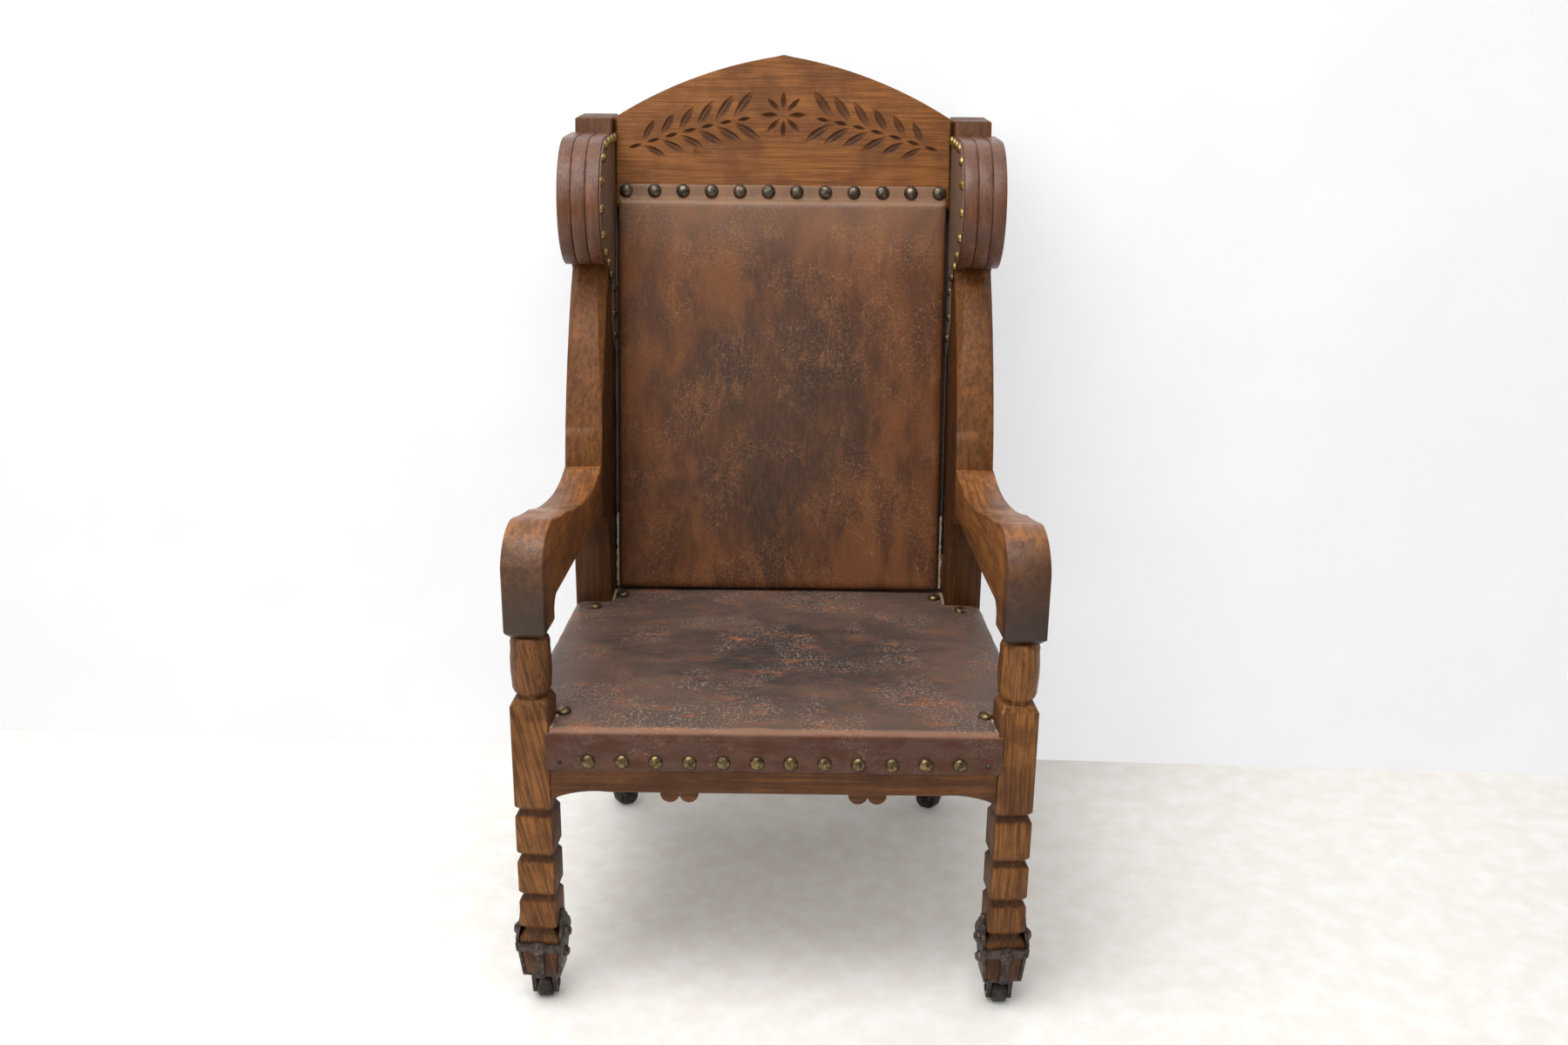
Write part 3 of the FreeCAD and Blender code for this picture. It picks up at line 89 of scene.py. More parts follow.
# Wall behind the chair, where it meets the floor, and the sizes of both in metres
WALL_LEFT = Vector((-1565 * MM, LEG_FRONT + 876 * MM, 0))
WALL_RIGHT = Vector((1522 * MM, LEG_FRONT + 768 * MM, 0))
ROOM_WIDTH = 14
WALL_HEIGHT = 8

# Area lights: name, place, width and height in metres, power in watts, point they face
LAMPS = [("soft_top", (-0.5, -1.0, 3.1), (2.4, 1.8), 88, (0, 0.1, 0.5)),
         ("soft_front", (-1.5, -2.8, 2.3), (2.2, 1.6), 34, (0, 0, 0.6))]
SKY = ("fbf9f6", 0.3)

# Sides of the chair as photographed, and its feet
SIDES = ((-1, "left"), (1, "right"))
FEET = ("front_left", "front_right", "rear_left", "rear_right")


# Scene helpers


def deselect():
    for obj in bpy.context.selected_objects:
        obj.select_set(False)


def only(obj):
    deselect()
    obj.select_set(True)
    bpy.context.view_layer.objects.active = obj


def edit(obj, mode="FACE"):
    only(obj)
    bpy.ops.object.mode_set(mode="EDIT")
    bpy.ops.mesh.select_mode(type=mode)
    bpy.ops.mesh.select_all(action="SELECT")


def done():
    bpy.ops.object.mode_set(mode="OBJECT")


def modifier(obj, kind, **settings):
    made = obj.modifiers.new(kind.lower(), kind)
    for name, value in settings.items():
        setattr(made, name, value)
    return made


def apply_modifiers(obj):
    only(obj)
    for name in [m.name for m in obj.modifiers]:
        bpy.ops.object.modifier_apply(modifier=name)


def settle(obj):
    # Puts the object's place into its mesh.
    only(obj)
    bpy.ops.object.transform_apply(location=True, rotation=True, scale=True)
    return obj


def join(parts):
    deselect()
    for part in parts:
        part.select_set(True)
    bpy.context.view_layer.objects.active = parts[0]
    bpy.ops.object.join()
    return bpy.context.object


def points(obj):
    flat = np.zeros(len(obj.data.vertices) * 3)
    obj.data.vertices.foreach_get("co", flat)
    return flat.reshape(-1, 3)


def set_points(obj, places):
    obj.data.vertices.foreach_set("co", np.asarray(places, float).ravel())
    obj.data.update()


def drop_points(obj, flags):
    edit(obj, "VERT")
    bpy.ops.mesh.select_all(action="DESELECT")
    done()
    obj.data.vertices.foreach_set("select", flags)
    bpy.ops.object.mode_set(mode="EDIT")
    bpy.ops.mesh.delete(type="VERT")
    done()


def smooth(obj, degrees=35):
    only(obj)
    bpy.ops.object.shade_smooth_by_angle(angle=math.radians(degrees))


def dress(obj, material):
    obj.data.materials.clear()
    obj.data.materials.append(material)


def stand_for(piece, node_names, body):
    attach(piece, body)
    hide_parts(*node_names)


def merged_copy(name, piece_name):
    # A copy of a CAD node with its loose triangles joined into whole faces.
    piece = nodes[name].copy()
    piece.data = nodes[name].data.copy()
    piece.name = piece_name
    for key in list(piece.keys()):
        del piece[key]
    piece.parent = None
    piece.hide_render = False
    piece.hide_viewport = False
    bpy.context.scene.collection.objects.link(piece)
    edit(piece)
    bpy.ops.mesh.remove_doubles(threshold=0.02 * MM)
    bpy.ops.mesh.dissolve_limited(angle_limit=math.radians(0.6))
    done()
    return piece


def cut_away(obj, cutters):
    for cutter in cutters:
        modifier(obj, "BOOLEAN", object=cutter, operation="DIFFERENCE", solver="EXACT")
    apply_modifiers(obj)
    for cutter in cutters:
        bpy.data.objects.remove(cutter)


def block(low, high):
    bpy.ops.mesh.primitive_cube_add(size=1, location=(Vector(low) + Vector(high)) / 2)
    cutter = bpy.context.object
    cutter.scale = Vector(high) - Vector(low)
    return settle(cutter)


def grid(name, width, length, step):
    bpy.ops.mesh.primitive_grid_add(x_subdivisions=int(width / step),
                                    y_subdivisions=int(length / step), size=1)
    sheet = bpy.context.object
    sheet.name = name
    sheet.scale = (width, length, 1)
    return settle(sheet)


def noise_at(place, size, seed=0.0):
    # Smooth noise from -1 to 1 with features of about the given size.
    return noise.noise(Vector(place) / size + Vector((seed, seed * 1.7, -seed)))


# Material helpers


def colour(code):
    # sRGB hex to linear
    channels = []
    for start in (0, 2, 4):
        value = int(code[start:start + 2], 16) / 255
        channels.append(value / 12.92 if value <= 0.04045 else ((value + 0.055) / 1.055) ** 2.4)
    return (*channels, 1)


def add(tree, kind, inputs=None, **settings):
    made = tree.nodes.new(kind)
    for name, value in settings.items():
        setattr(made, name, value)
    for name, value in (inputs or {}).items():
        socket = made.inputs[name]
        if isinstance(value, bpy.types.NodeSocket):
            tree.links.new(value, socket)
        else:
            socket.default_value = value
    return made


def ramp(tree, value, low, high, start=0.0, end=1.0):
    # Value from low to high becomes start to end.
    limits = {"Value": value, "From Min": low, "From Max": high, "To Min": start, "To Max": end}
    return add(tree, "ShaderNodeMapRange", limits, interpolation_type="SMOOTHSTEP").outputs[0]


def blend(tree, factor, first, second):
    return add(tree, "ShaderNodeMix", {0: factor, 6: first, 7: second}, data_type="RGBA").outputs[2]


def calc(tree, operation, first, second=0.0):
    return add(tree, "ShaderNodeMath", {0: first, 1: second}, operation=operation).outputs[0]


def apart(tree, value, middle):
    return calc(tree, "ABSOLUTE", calc(tree, "SUBTRACT", value, middle))


def vector(tree, operation, first, second=(0, 0, 0), output=0):
    return add(tree, "ShaderNodeVectorMath", {0: first, 1: second}, operation=operation).outputs[output]


def split(tree, coords):
    return add(tree, "ShaderNodeSeparateXYZ", {0: coords}).outputs


def along_back(tree, coords, axis):
    # How far a point lies from the foot of the back, along one of the back's own axes.
    offset = vector(tree, "SUBTRACT", coords, BACK_FOOT)
    return vector(tree, "DOT_PRODUCT", offset, axis, "Value")


def field(tree, coords, stretch, feature_mm, detail=3.0, rough=0.55, distortion=0.0):
    # Noise with features of the given size, drawn out by the stretch along each axis.
    scale = [1 / (feature_mm * MM * along) for along in stretch]
    placed = add(tree, "ShaderNodeMapping", {"Vector": coords, "Scale": scale}).outputs[0]
    return add(tree, "ShaderNodeTexNoise", {"Vector": placed, "Scale": 1.0, "Detail": detail,
                                            "Roughness": rough, "Distortion": distortion}).outputs[0]


def cracks(tree, coords, cell_mm):
    # How far a point lies from the nearest edge between cells of the given size.
    return add(tree, "ShaderNodeTexVoronoi", {"Vector": coords, "Scale": 1 / (cell_mm * MM)},
               feature="DISTANCE_TO_EDGE").outputs["Distance"]


def new_material(name):
    material = bpy.data.materials.new(name)
    material.use_nodes = True
    material.node_tree.nodes.clear()
    coords = add(material.node_tree, "ShaderNodeTexCoord").outputs["Object"]
    return material, material.node_tree, coords


def finish_material(tree, base, roughness, height, depth_mm, **fixed):
    shader = add(tree, "ShaderNodeBsdfPrincipled", {"Base Color": base, "Roughness": roughness})
    for name, value in fixed.items():
        shader.inputs[name.replace("_", " ")].default_value = value
    bump = add(tree, "ShaderNodeBump", {"Height": height, "Distance": depth_mm * MM, "Strength": 1.0})
    tree.links.new(bump.outputs[0], shader.inputs["Normal"])
    out = add(tree, "ShaderNodeOutputMaterial")
    tree.links.new(shader.outputs[0], out.inputs[0])


# Kinds of material


def sawn_oak(name, along, light, dark, patina, patina_amount=0.5, gloss=0.42, rays=0.35, dirt_and_shade=None,
             dirt_and_shade_tone="24130b", shine=0.2, band_mm=8.0, slant=0.0):
    # Quarter-sawn oak, stained and waxed: long open pores, slow bands of growth, pale ray flecks that
    # cross them, and a dark patina in patches. The pores are drawn 2 mm apart, so that they show.
    pore_mm = 2.1
    pore_tone = "2a160c"
    fleck_mm = 2.8
    patch_mm = 55.0
    drawn_out = 26
    fleck_length = 7
    material, tree, coords = new_material(name)
    long = [drawn_out if axis == along else 1 for axis in "XYZ"]
    short = [fleck_length if axis == along else 1 for axis in "XYZ"]
    grain = add(tree, "ShaderNodeMapping", {"Vector": coords, "Rotation": (0, slant, 0)}).outputs[0]
    pores = field(tree, grain, long, pore_mm, 5.0, 0.62, 0.12)
    bands = field(tree, grain, long, band_mm, 3.0, 0.55, 0.5)
    flecks = field(tree, grain, short, fleck_mm, 3.0, 0.6, 0.5)
    patches = field(tree, coords, (1, 1, 1), patch_mm, 4.0, 0.62)
    streak = ramp(tree, pores, 0.40, 0.58)
    wood = blend(tree, ramp(tree, bands, 0.36, 0.62, 0.25, 1.0), colour(dark), colour(light))
    wood = blend(tree, ramp(tree, pores, 0.34, 0.50, 0.7, 0.0), wood, colour(dark))
    wood = blend(tree, ramp(tree, pores, 0.22, 0.36, 0.75, 0.0), wood, colour(pore_tone))
    wood = blend(tree, ramp(tree, flecks, 0.58, 0.70, 0.0, rays), wood, colour(light))
    wood = blend(tree, ramp(tree, patches, 0.38, 0.66, 0.0, patina_amount), wood, colour(patina))
    # Dirt, polish and stain, and painted shade, as each piece's mask gives them.
    if dirt_and_shade is not None:
        wood = blend(tree, dirt_and_shade(tree, coords), wood, colour(dirt_and_shade_tone))
    roughness = ramp(tree, patches, 0.3, 0.7, gloss - 0.06, gloss + 0.12)
    height = calc(tree, "ADD", streak, calc(tree, "MULTIPLY", bands, 0.8))
    finish_material(tree, wood, roughness, height, 0.2, Specular_IOR_Level=shine, IOR=1.5)
    return material


def aged_leather(name, tones, centre, reach, dabs, crackle, gloss, streaks, rubs_and_sheen=()):
    # Old vegetable-tanned cowhide, greased and rubbed: broad clouds of brown, a dark patch where the
    # sitter leans, rust-red dabs where the finish has gone, fine pale crackle and a few scratches.
    # Its pebbles are drawn 2.6 mm across, so that they show.
    cloud_mm = 62.0
    vein_mm = 5.0
    spot_mm = 24.0
    region_mm = 95.0
    grit_mm = 3.2
    pebble_mm = 2.6
    crackle_mm = 8.5
    waver_mm = 7
    waver = 6 * MM
    upright = streaks[2] > 1
    lying = streaks[0] > 1
    tone, rust, black, dab, pale = [colour(code) for code in tones]
    material, tree, coords = new_material(name)
    clouds = field(tree, coords, streaks, cloud_mm, 5.0, 0.62, 0.4)
    veins = field(tree, coords, (1, 1, 9) if upright else (7, 1, 1), vein_mm, 4.0, 0.65)
    spots = field(tree, coords, (2, 1, 1) if lying else (1, 1, 2), spot_mm, 5.0, 0.68, 0.3)
    regions = field(tree, coords, (1, 1, 1), region_mm, 2.0, 0.5, 0.3)
    grit = field(tree, coords, (1, 1, 1), grit_mm, 3.0, 0.7)
    offset = vector(tree, "SUBTRACT", coords, centre)
    scaled = vector(tree, "MULTIPLY", offset, [1 / r for r in reach])
    away = vector(tree, "LENGTH", scaled, output="Value")
    wavering = calc(tree, "ADD", away, calc(tree, "MULTIPLY", calc(tree, "SUBTRACT", clouds, 0.5), 1.5))
    near = ramp(tree, wavering, 0.25, 1.25, 0.8, 0.0)
    hide = blend(tree, ramp(tree, clouds, 0.38, 0.62), tone, rust)
    hide = blend(tree, near, hide, black)
    hide = blend(tree, ramp(tree, veins, 0.44, 0.62, 0.0, 0.25), hide, rust)
    hide = blend(tree, ramp(tree, veins, 0.3, 0.44, 0.22, 0.0), hide, black)
    bare = calc(tree, "MULTIPLY", ramp(tree, spots, 0.52, 0.66),
                ramp(tree, regions, 0.42, 0.58, 0.25, dabs))
    hide = blend(tree, bare, hide, dab)
    hide = blend(tree, ramp(tree, grit, 0.36, 0.5, 0.28, 0.0), hide, black)
    swirl = add(tree, "ShaderNodeTexNoise", {"Vector": coords, "Scale": 1 / (waver_mm * MM)})
    shift = vector(tree, "MULTIPLY", swirl.outputs["Color"], (waver, waver, waver))
    warped = vector(tree, "ADD", coords, shift)
    cells = cracks(tree, warped, pebble_mm)
    net = cracks(tree, warped, crackle_mm)
    crack = calc(tree, "MULTIPLY", ramp(tree, net, 0.0, 0.07, 1.0, 0.0), ramp(tree, grit, 0.44, 0.6))
    crazed = calc(tree, "MULTIPLY", crack, ramp(tree, regions, 0.44, 0.56, 0.05, crackle))
    hide = blend(tree, crazed, hide, pale)
    # Worn places, and painted sheen and highlights, as each mask gives them.
    for share, code in rubs_and_sheen:
        hide = blend(tree, share(tree, coords), hide, colour(code))
    height = calc(tree, "ADD", ramp(tree, cells, 0.0, 0.15, 0.0, 0.35),
                  calc(tree, "ADD", clouds, calc(tree, "MULTIPLY", crack, -0.5)))
    roughness = ramp(tree, clouds, 0.3, 0.7, gloss - 0.07, gloss + 0.13)
    finish_material(tree, hide, roughness, height, 0.3, Specular_IOR_Level=0.27, IOR=1.5)
    return material


def cast_metal(name, bright, dull, rough, metallic, feature_mm, depth_mm=0.15, lines=None, darker_below=None):
    # Worn metal: bright where hands and cloth rub it, dull in the rest, with fine scratches where lines
    # says how they are drawn out, and darker below the given heights.
    scratch_mm = 1.2
    scratch_tone = "bb9d60"
    material, tree, coords = new_material(name)
    patches = field(tree, coords, (1, 1, 1), feature_mm, 4.0, 0.65, 0.3)
    tone = blend(tree, ramp(tree, patches, 0.38, 0.62), colour(dull), colour(bright))
    if lines is not None:
        scratch = field(tree, coords, lines, scratch_mm, 2.0, 0.6)
        tone = blend(tree, ramp(tree, scratch, 0.56, 0.7, 0.0, 0.7), tone, colour(scratch_tone))
    if darker_below is not None:
        low, high, dark = darker_below
        tone = blend(tree, ramp(tree, split(tree, coords)["Z"], low, high, 0.85, 0.0), tone, colour(dark))
    roughness = ramp(tree, patches, 0.3, 0.7, rough + 0.12, rough - 0.08)
    finish_material(tree, tone, roughness, patches, depth_mm, Metallic=metallic)
    return material


def plain_cloth(name, tone, shade, thread_mm):
    # Plain weave of coarse threads.
    thread_length = 12
    material, tree, coords = new_material(name)
    warp = field(tree, coords, (1, thread_length, 1), thread_mm, 2.0)
    weft = field(tree, coords, (thread_length, 1, 1), thread_mm, 2.0)
    weave = calc(tree, "MULTIPLY", warp, weft)
    tone_map = blend(tree, ramp(tree, weave, 0.12, 0.4), colour(shade), colour(tone))
    finish_material(tree, tone_map, 0.9, weave, 0.5, Specular_IOR_Level=0.2)
    return material


def studio_paint(name, tone, shade, feature_mm, glow, one_sided=False):
    # Matt painted floor and wall. To the eye they are partly a bright backdrop, and the rest of them
    # takes the object's shadow; everything else is lit by them as by plain paint. The wall is clear
    # from behind, so that the chair's back can be looked at.
    material, tree, coords = new_material(name)
    patches = field(tree, coords, (1, 1, 1), feature_mm, 5.0, 0.6)
    tone_map = blend(tree, ramp(tree, patches, 0.35, 0.7), colour(shade), colour(tone))
    shader = add(tree, "ShaderNodeBsdfPrincipled", {"Base Color": tone_map, "Roughness": 0.8})
    shader.inputs["Specular IOR Level"].default_value = 0.2
    bright = add(tree, "ShaderNodeEmission", {"Color": tone_map, "Strength": 1.0})
    path = add(tree, "ShaderNodeLightPath").outputs
    seen = calc(tree, "MAXIMUM", path["Is Camera Ray"],
                calc(tree, "MAXIMUM", path["Is Glossy Ray"], path["Is Transmission Ray"]))
    both = add(tree, "ShaderNodeMixShader", {0: calc(tree, "MULTIPLY", seen, glow), 1: shader.outputs[0],
                                             2: bright.outputs[0]})
    if one_sided:
        clear = add(tree, "ShaderNodeBsdfTransparent")
        behind = add(tree, "ShaderNodeNewGeometry").outputs["Backfacing"]
        both = add(tree, "ShaderNodeMixShader", {0: behind, 1: both.outputs[0], 2: clear.outputs[0]})
    out = add(tree, "ShaderNodeOutputMaterial")
    tree.links.new(both.outputs[0], out.inputs[0])
    return material


# Where wood and leather are dirty or rubbed, and where shade, sheen and highlights are painted on them:
# each gives a share from 0 to 1


def carving_wax_and_shade(tree, coords):
    # Old wax and dirt in the carved branch, with painted shade in its hollows: both grow with the depth
    # behind the front of the crest board.
    up = along_back(tree, coords, UP_THE_BACK)
    behind = along_back(tree, coords, -OUT_OF_THE_BACK)
    across = calc(tree, "ABSOLUTE", split(tree, coords)["X"])
    arch = calc(tree, "POWER", calc(tree, "DIVIDE", across, BRANCH_HALF), 1.5)
    stem = calc(tree, "SUBTRACT", BRANCH_MIDDLE, calc(tree, "MULTIPLY", arch, BRANCH_FALL))
    inside = ramp(tree, apart(tree, up, stem), 52 * MM, 56 * MM, 1.0, 0.0)
    # Painted shade and old wax, darker deeper in the cut.
    sinks = ramp(tree, behind, 0.2 * MM, 3.2 * MM, 0.0, 1.0)
    return calc(tree, "MULTIPLY", calc(tree, "MULTIPLY", sinks, inside), 0.72)


def leg_shade_and_darkening(tree, coords):
    # Painted shade in the notches round the front legs and on the legs' inner faces; the left baluster,
    # and the foot below the top of the shoe, are darker.
    below_top = 4
    block_top = 458 * MM
    baluster_foot = 466 * MM
    shoe_top = 120 * MM
    inner_face = LEG_AXIS.x - LEG_HALF
    place = split(tree, coords)
    height = place["Z"]
    darkening = calc(tree, "MULTIPLY", ramp(tree, height, block_top, baluster_foot, 0.0, 0.28),
                calc(tree, "LESS_THAN", place["X"], 0.0))
    # Painted shade in each notch.
    for notch in NOTCHES:
        from_notch = apart(tree, height, (notch - below_top) * MM)
        darkening = calc(tree, "MAXIMUM", darkening, ramp(tree, from_notch, 2 * MM, 8 * MM, 0.7, 0.0))
    # Painted shade on the legs' inner faces.
    turned = calc(tree, "MULTIPLY", calc(tree, "SUBTRACT", place["Y"], LEG_AXIS.y), math.tan(LEG_TURN))
    out = calc(tree, "ADD", calc(tree, "ABSOLUTE", place["X"]), turned)
    inner = ramp(tree, out, inner_face + 0.5 * MM, inner_face + 2.5 * MM, 0.5, 0.0)
    darkening = calc(tree, "MAXIMUM", darkening, inner)
    return calc(tree, "MAXIMUM", darkening, ramp(tree, height, shoe_top, shoe_top + 7 * MM, 0.55, 0.0))


def post_shade_and_cap_stain(tree, coords):
    # Painted shade on the inner faces of the posts and on their part below the arms; the caps are stained
    # darker.
    arm_top = 0.56
    shade_ends_at = 0.76
    cap_from = 1.186
    cap_edge = 8 * MM
    place = split(tree, coords)
    across = calc(tree, "ABSOLUTE", place["X"])
    # Painted shade on the inner faces and below the arms.
    inner = ramp(tree, across, POST_INNER + 0.6 * MM, POST_INNER + 2.4 * MM, 0.6, 0.0)
    low = ramp(tree, place["Z"], arm_top, shade_ends_at, 0.5, 0.0)
    top = ramp(tree, place["Z"], cap_from, cap_from + cap_edge, 0.0, 0.45)
    return calc(tree, "MAXIMUM", inner, calc(tree, "MAXIMUM", low, top))


def arm_front_polish_and_shade(tree, coords):
    # Dark polish of hands on the front of the arms, with painted shade that makes the lower front darker
    # still.
    lip = 0.60
    top = 0.72
    place = split(tree, coords)
    behind = calc(tree, "SUBTRACT", place["Y"], LEG_FRONT)
    front = ramp(tree, behind, 6 * MM, 38 * MM, 0.92, 0.0)
    # Painted shade: the lower front is darker.
    return calc(tree, "MULTIPLY", front, ramp(tree, place["Z"], lip, top, 1.0, 0.55))


def strip_wear_and_sheen(tree, coords):
    # The strip under the top nails of the back is rubbed pale; the leather below it carries a painted
    # sheen, and the ledge a painted highlight.
    ledge_place = 647 * MM
    up = along_back(tree, coords, UP_THE_BACK)
    # Worn strip, and a painted sheen on the leather below it.
    strip = calc(tree, "MAXIMUM", ramp(tree, up, 642 * MM, 650 * MM, 0.0, 0.42),
                 ramp(tree, up, 520 * MM, 640 * MM, 0.0, 0.24))
    # Painted highlight along the ledge.
    ledge = ramp(tree, apart(tree, up, ledge_place), 2 * MM, 10 * MM, 0.6, 0.0)
    return calc(tree, "MAXIMUM", strip, ledge)


def front_fold_wear_and_highlight(tree, coords):
    # The fold over the front rail is rubbed pale by knees, with a painted highlight along its edge.
    place = split(tree, coords)
    # Painted highlight along the edge of the fold, with the wear.
    edge = ramp(tree, place["Z"], SEAT_TOP - 7 * MM, SEAT_TOP - 2 * MM, 0.0, 0.34)
    front = ramp(tree, place["Y"], LEG_FRONT + 3 * MM, LEG_FRONT + 10 * MM, 1.0, 0.0)
    return calc(tree, "MULTIPLY", edge, front)


def front_skirt(tree, coords):
    # The leather that hangs down over the rails has kept more of its red-brown.
    mottle_mm = 22.0
    place = split(tree, coords)
    face = ramp(tree, place["Y"], LEG_FRONT, LEG_FRONT + 5 * MM, 1.0, 0.0)
    sides = ramp(tree, place["Z"], SEAT_TOP - 12 * MM, SEAT_TOP - 4 * MM, 1.0, 0.0)
    mottle = ramp(tree, field(tree, coords, (2.5, 1, 1), mottle_mm, 4.0, 0.65), 0.36, 0.6, 0.95, 0.5)
    return calc(tree, "MULTIPLY", calc(tree, "MAXIMUM", face, sides), mottle)


# Materials of the chair

# Oak of the front legs: upright pores and painted shade in the notches; in the left leg the grain slants
LEG_TONES = ("8c5c30", "4c2c15", "3a1f10")
OAK_LEG = sawn_oak("oak_waxed_leg", "Z", *LEG_TONES, 0.45, rays=0.4, dirt_and_shade=leg_shade_and_darkening, band_mm=4.5)
OAK_SLANTED = sawn_oak("oak_waxed_leg_slanted", "Z", *LEG_TONES, 0.45, rays=0.4, dirt_and_shade=leg_shade_and_darkening,
                       band_mm=4.5, slant=math.radians(12))
# Oak of the hidden bars: plain and dull
OAK_UP = sawn_oak("oak_waxed_upright", "Z", "7d4f2a", "4a2a14", "3a1f10", 0.5)
# Oak of the posts: mid-brown, with painted shade on the inner faces and below the arms, and dark caps
OAK_POST = sawn_oak("oak_waxed_post", "Z", "764822", "4c2d11", "3e2110", 0.32, rays=0.4,
                    dirt_and_shade=post_shade_and_cap_stain, band_mm=6.0)
# Oak of the rails: darker, with the grain lying across
OAK_ACROSS = sawn_oak("oak_waxed_rail", "X", "6e4524", "442610", "38200f", 0.5)
# Oak of the crest board: the warmest wood, with old wax and painted shade in the carving
OAK_CREST = sawn_oak("oak_waxed_crest", "X", "845226", "62390f", "553019", 0.6, rays=0.4,
                     dirt_and_shade=carving_wax_and_shade, dirt_and_shade_tone="2e1a10", band_mm=4.5)
# Oak of the arms: golden and polished by hands, nearly black at the front from hand polish and painted
# shade
OAK_ARM = sawn_oak("oak_waxed_arm", "Y", "925d2e", "5a3417", "4a2814", 0.5, gloss=0.36,
                   dirt_and_shade=arm_front_polish_and_shade, dirt_and_shade_tone="2f221c", shine=0.4)
# Oak of the ears: red-brown under a smooth, shiny patina
OAK_EAR = sawn_oak("oak_dark_patina", "Z", "6f452c", "4a2b1c", "523529", 0.7, gloss=0.32, rays=0.2,
                   shine=0.45)
# Cowhide of the back: red-brown, black where shoulders lean, pale along the top from a worn strip, a
# painted sheen and a painted highlight on the ledge
BACK_HIDE = aged_leather("leather_back_aged", ("52311d", "6f4324", "3a2a22", "825431", "a8876c"),
                         BACK_FOOT + 290 * MM * UP_THE_BACK, (0.18, 0.27, 0.3), 0.5, 0.4, 0.40,
                         (1, 1, 2.2), ((strip_wear_and_sheen, "8d7059"),))
# Cowhide of the seat: greyer, crazed, black in the middle, with a pale fold in front, worn and with a
# painted highlight
SEAT_HIDE = aged_leather("leather_seat_aged", ("54463f", "624b40", "2d2a2b", "8a5232", "b8a290"),
                         Vector((0.01, LEG_FRONT + 250 * MM, 452 * MM)), (0.24, 0.15, 0.3), 0.7, 0.7, 0.40,
                         (1.6, 1, 1), ((front_skirt, "4c2614"), (front_fold_wear_and_highlight, "b07f5e")))
# Cowhide of the wings: even and dull, with no patch where anybody leans
WING_HIDE = aged_leather("leather_wing_aged", ("645044", "6c5244", "42342d", "7a5c46", "9a7c58"),
                         Vector((0, 0, 0)), (0.01, 0.01, 0.01), 0.3, 0.2, 0.45, (1, 1, 2.0))
# Stamped brass nails of the back: gone to a dark bronze
BRONZE = cast_metal("brass_nail_tarnished", "6f6152", "3b3630", 0.40, 0.85, 9.0, 0.04)
# Stamped brass nails of the wings: yellow at the top, darker lower down
BRASS = cast_metal("brass_nail_bright", "ab9258", "6b5833", 0.36, 0.95, 9.0, 0.04,
                   darker_below=(0.96, 1.03, "3e372f"))
# Stamped brass nails of the seat: dark, with bright scratches where legs rub them
RUBBED_BRASS = cast_metal("brass_nail_rubbed", "7c6a48", "3f372c", 0.38, 0.9, 8.0, 0.04, lines=(1, 1, 8))
# Cast iron: brown and pitted; bolts a little brighter, forks and wheels darker
IRON = cast_metal("iron_cast_brown", "4d3f37", "2a211d", 0.48, 0.5, 9.0, 0.3)
BOLT_IRON = cast_metal("iron_bolt_rubbed", "5f524b", "362d29", 0.42, 0.6, 6.0, 0.05)
WHEEL_IRON = cast_metal("iron_wheel_worn", "443a35", "211b19", 0.45, 0.55, 7.0, 0.3)
# Jute, hair and linen: matt threads, from straw to dirty white
JUTE = plain_cloth("jute_webbing_woven", "a58c66", "6e5a3e", 2.2)
HAIR = plain_cloth("hair_stuffing_matted", "7b6549", "4a3b2a", 3.0)
CANVAS = plain_cloth("linen_canvas_frayed", "c9bda6", "8d7f69", 1.6)


# Woodwork: copies of the CAD solids with worn, eased edges, whose width is given in mm

WOOD = [("front_leg_left", 2.6, OAK_SLANTED), ("front_leg_right", 2.6, OAK_LEG),
        ("rear_post_left", 2.2, OAK_POST), ("rear_post_right", 2.2, OAK_POST),
        ("scroll_ear_left", 1.0, OAK_EAR), ("scroll_ear_right", 1.0, OAK_EAR),
        ("arm_left", 4.0, OAK_ARM), ("arm_right", 4.0, OAK_ARM),
        ("front_rail", 1.2, OAK_ACROSS), ("rear_rail", 1.2, OAK_ACROSS),
        ("side_rail_left", 1.2, OAK_ARM), ("side_rail_right", 1.2, OAK_ARM),
        ("back_bottom_rail", 1.0, OAK_ACROSS), ("back_bar_left", 1.0, OAK_UP),
        ("back_bar_right", 1.0, OAK_UP), ("corner_blocks", 1.0, OAK_ACROSS),
        ("arm_plug_right", 0.2, OAK_EAR)]


def eased_piece(name, width_mm, material, body="chair", segments=2):
    piece = merged_copy(name, name + "_eased")
    modifier(piece, "BEVEL", width=width_mm * MM, segments=segments, limit_method="ANGLE",
             angle_limit=EDGE_ANGLE, use_clamp_overlap=True, miter_outer="MITER_ARC")
    apply_modifiers(piece)
    smooth(piece)
    dress(piece, material)
    stand_for(piece, [name], body)
    return piece


def woodwork():
    for name, width_mm, material in WOOD:
        eased_piece(name, width_mm, material)


# Crest board with a carved laurel: a branch from each end to a rosette in the middle


def branch_line(x):
    return BRANCH_MIDDLE - BRANCH_FALL * (abs(x) / BRANCH_HALF) ** 1.5


def leaf_cutter(length, width, depth):
    # A pointed leaf with a raised rib, as a gouge leaves it; it points up and its hollow faces +Y.
    rib_share = 0.5
    rib_width_share = 0.16
    bpy.ops.mesh.primitive_uv_sphere_add(segments=24, ring_count=12, radius=1)
    leaf = bpy.context.object
    places = points(leaf)
    t = places[:, 2]
    old = np.sqrt(np.clip(1 - t * t, 1e-9, 1))
    new = np.clip(1 - t * t, 0, 1)
    across = places[:, 0] / old
    deep = places[:, 1] / old
    rib = 1 - rib_share * np.exp(-(across / rib_width_share) ** 2) * (deep > 0)
    set_points(leaf, np.stack([across * new * width / 2, deep * new * depth * rib, t * length / 2], 1))
    return leaf


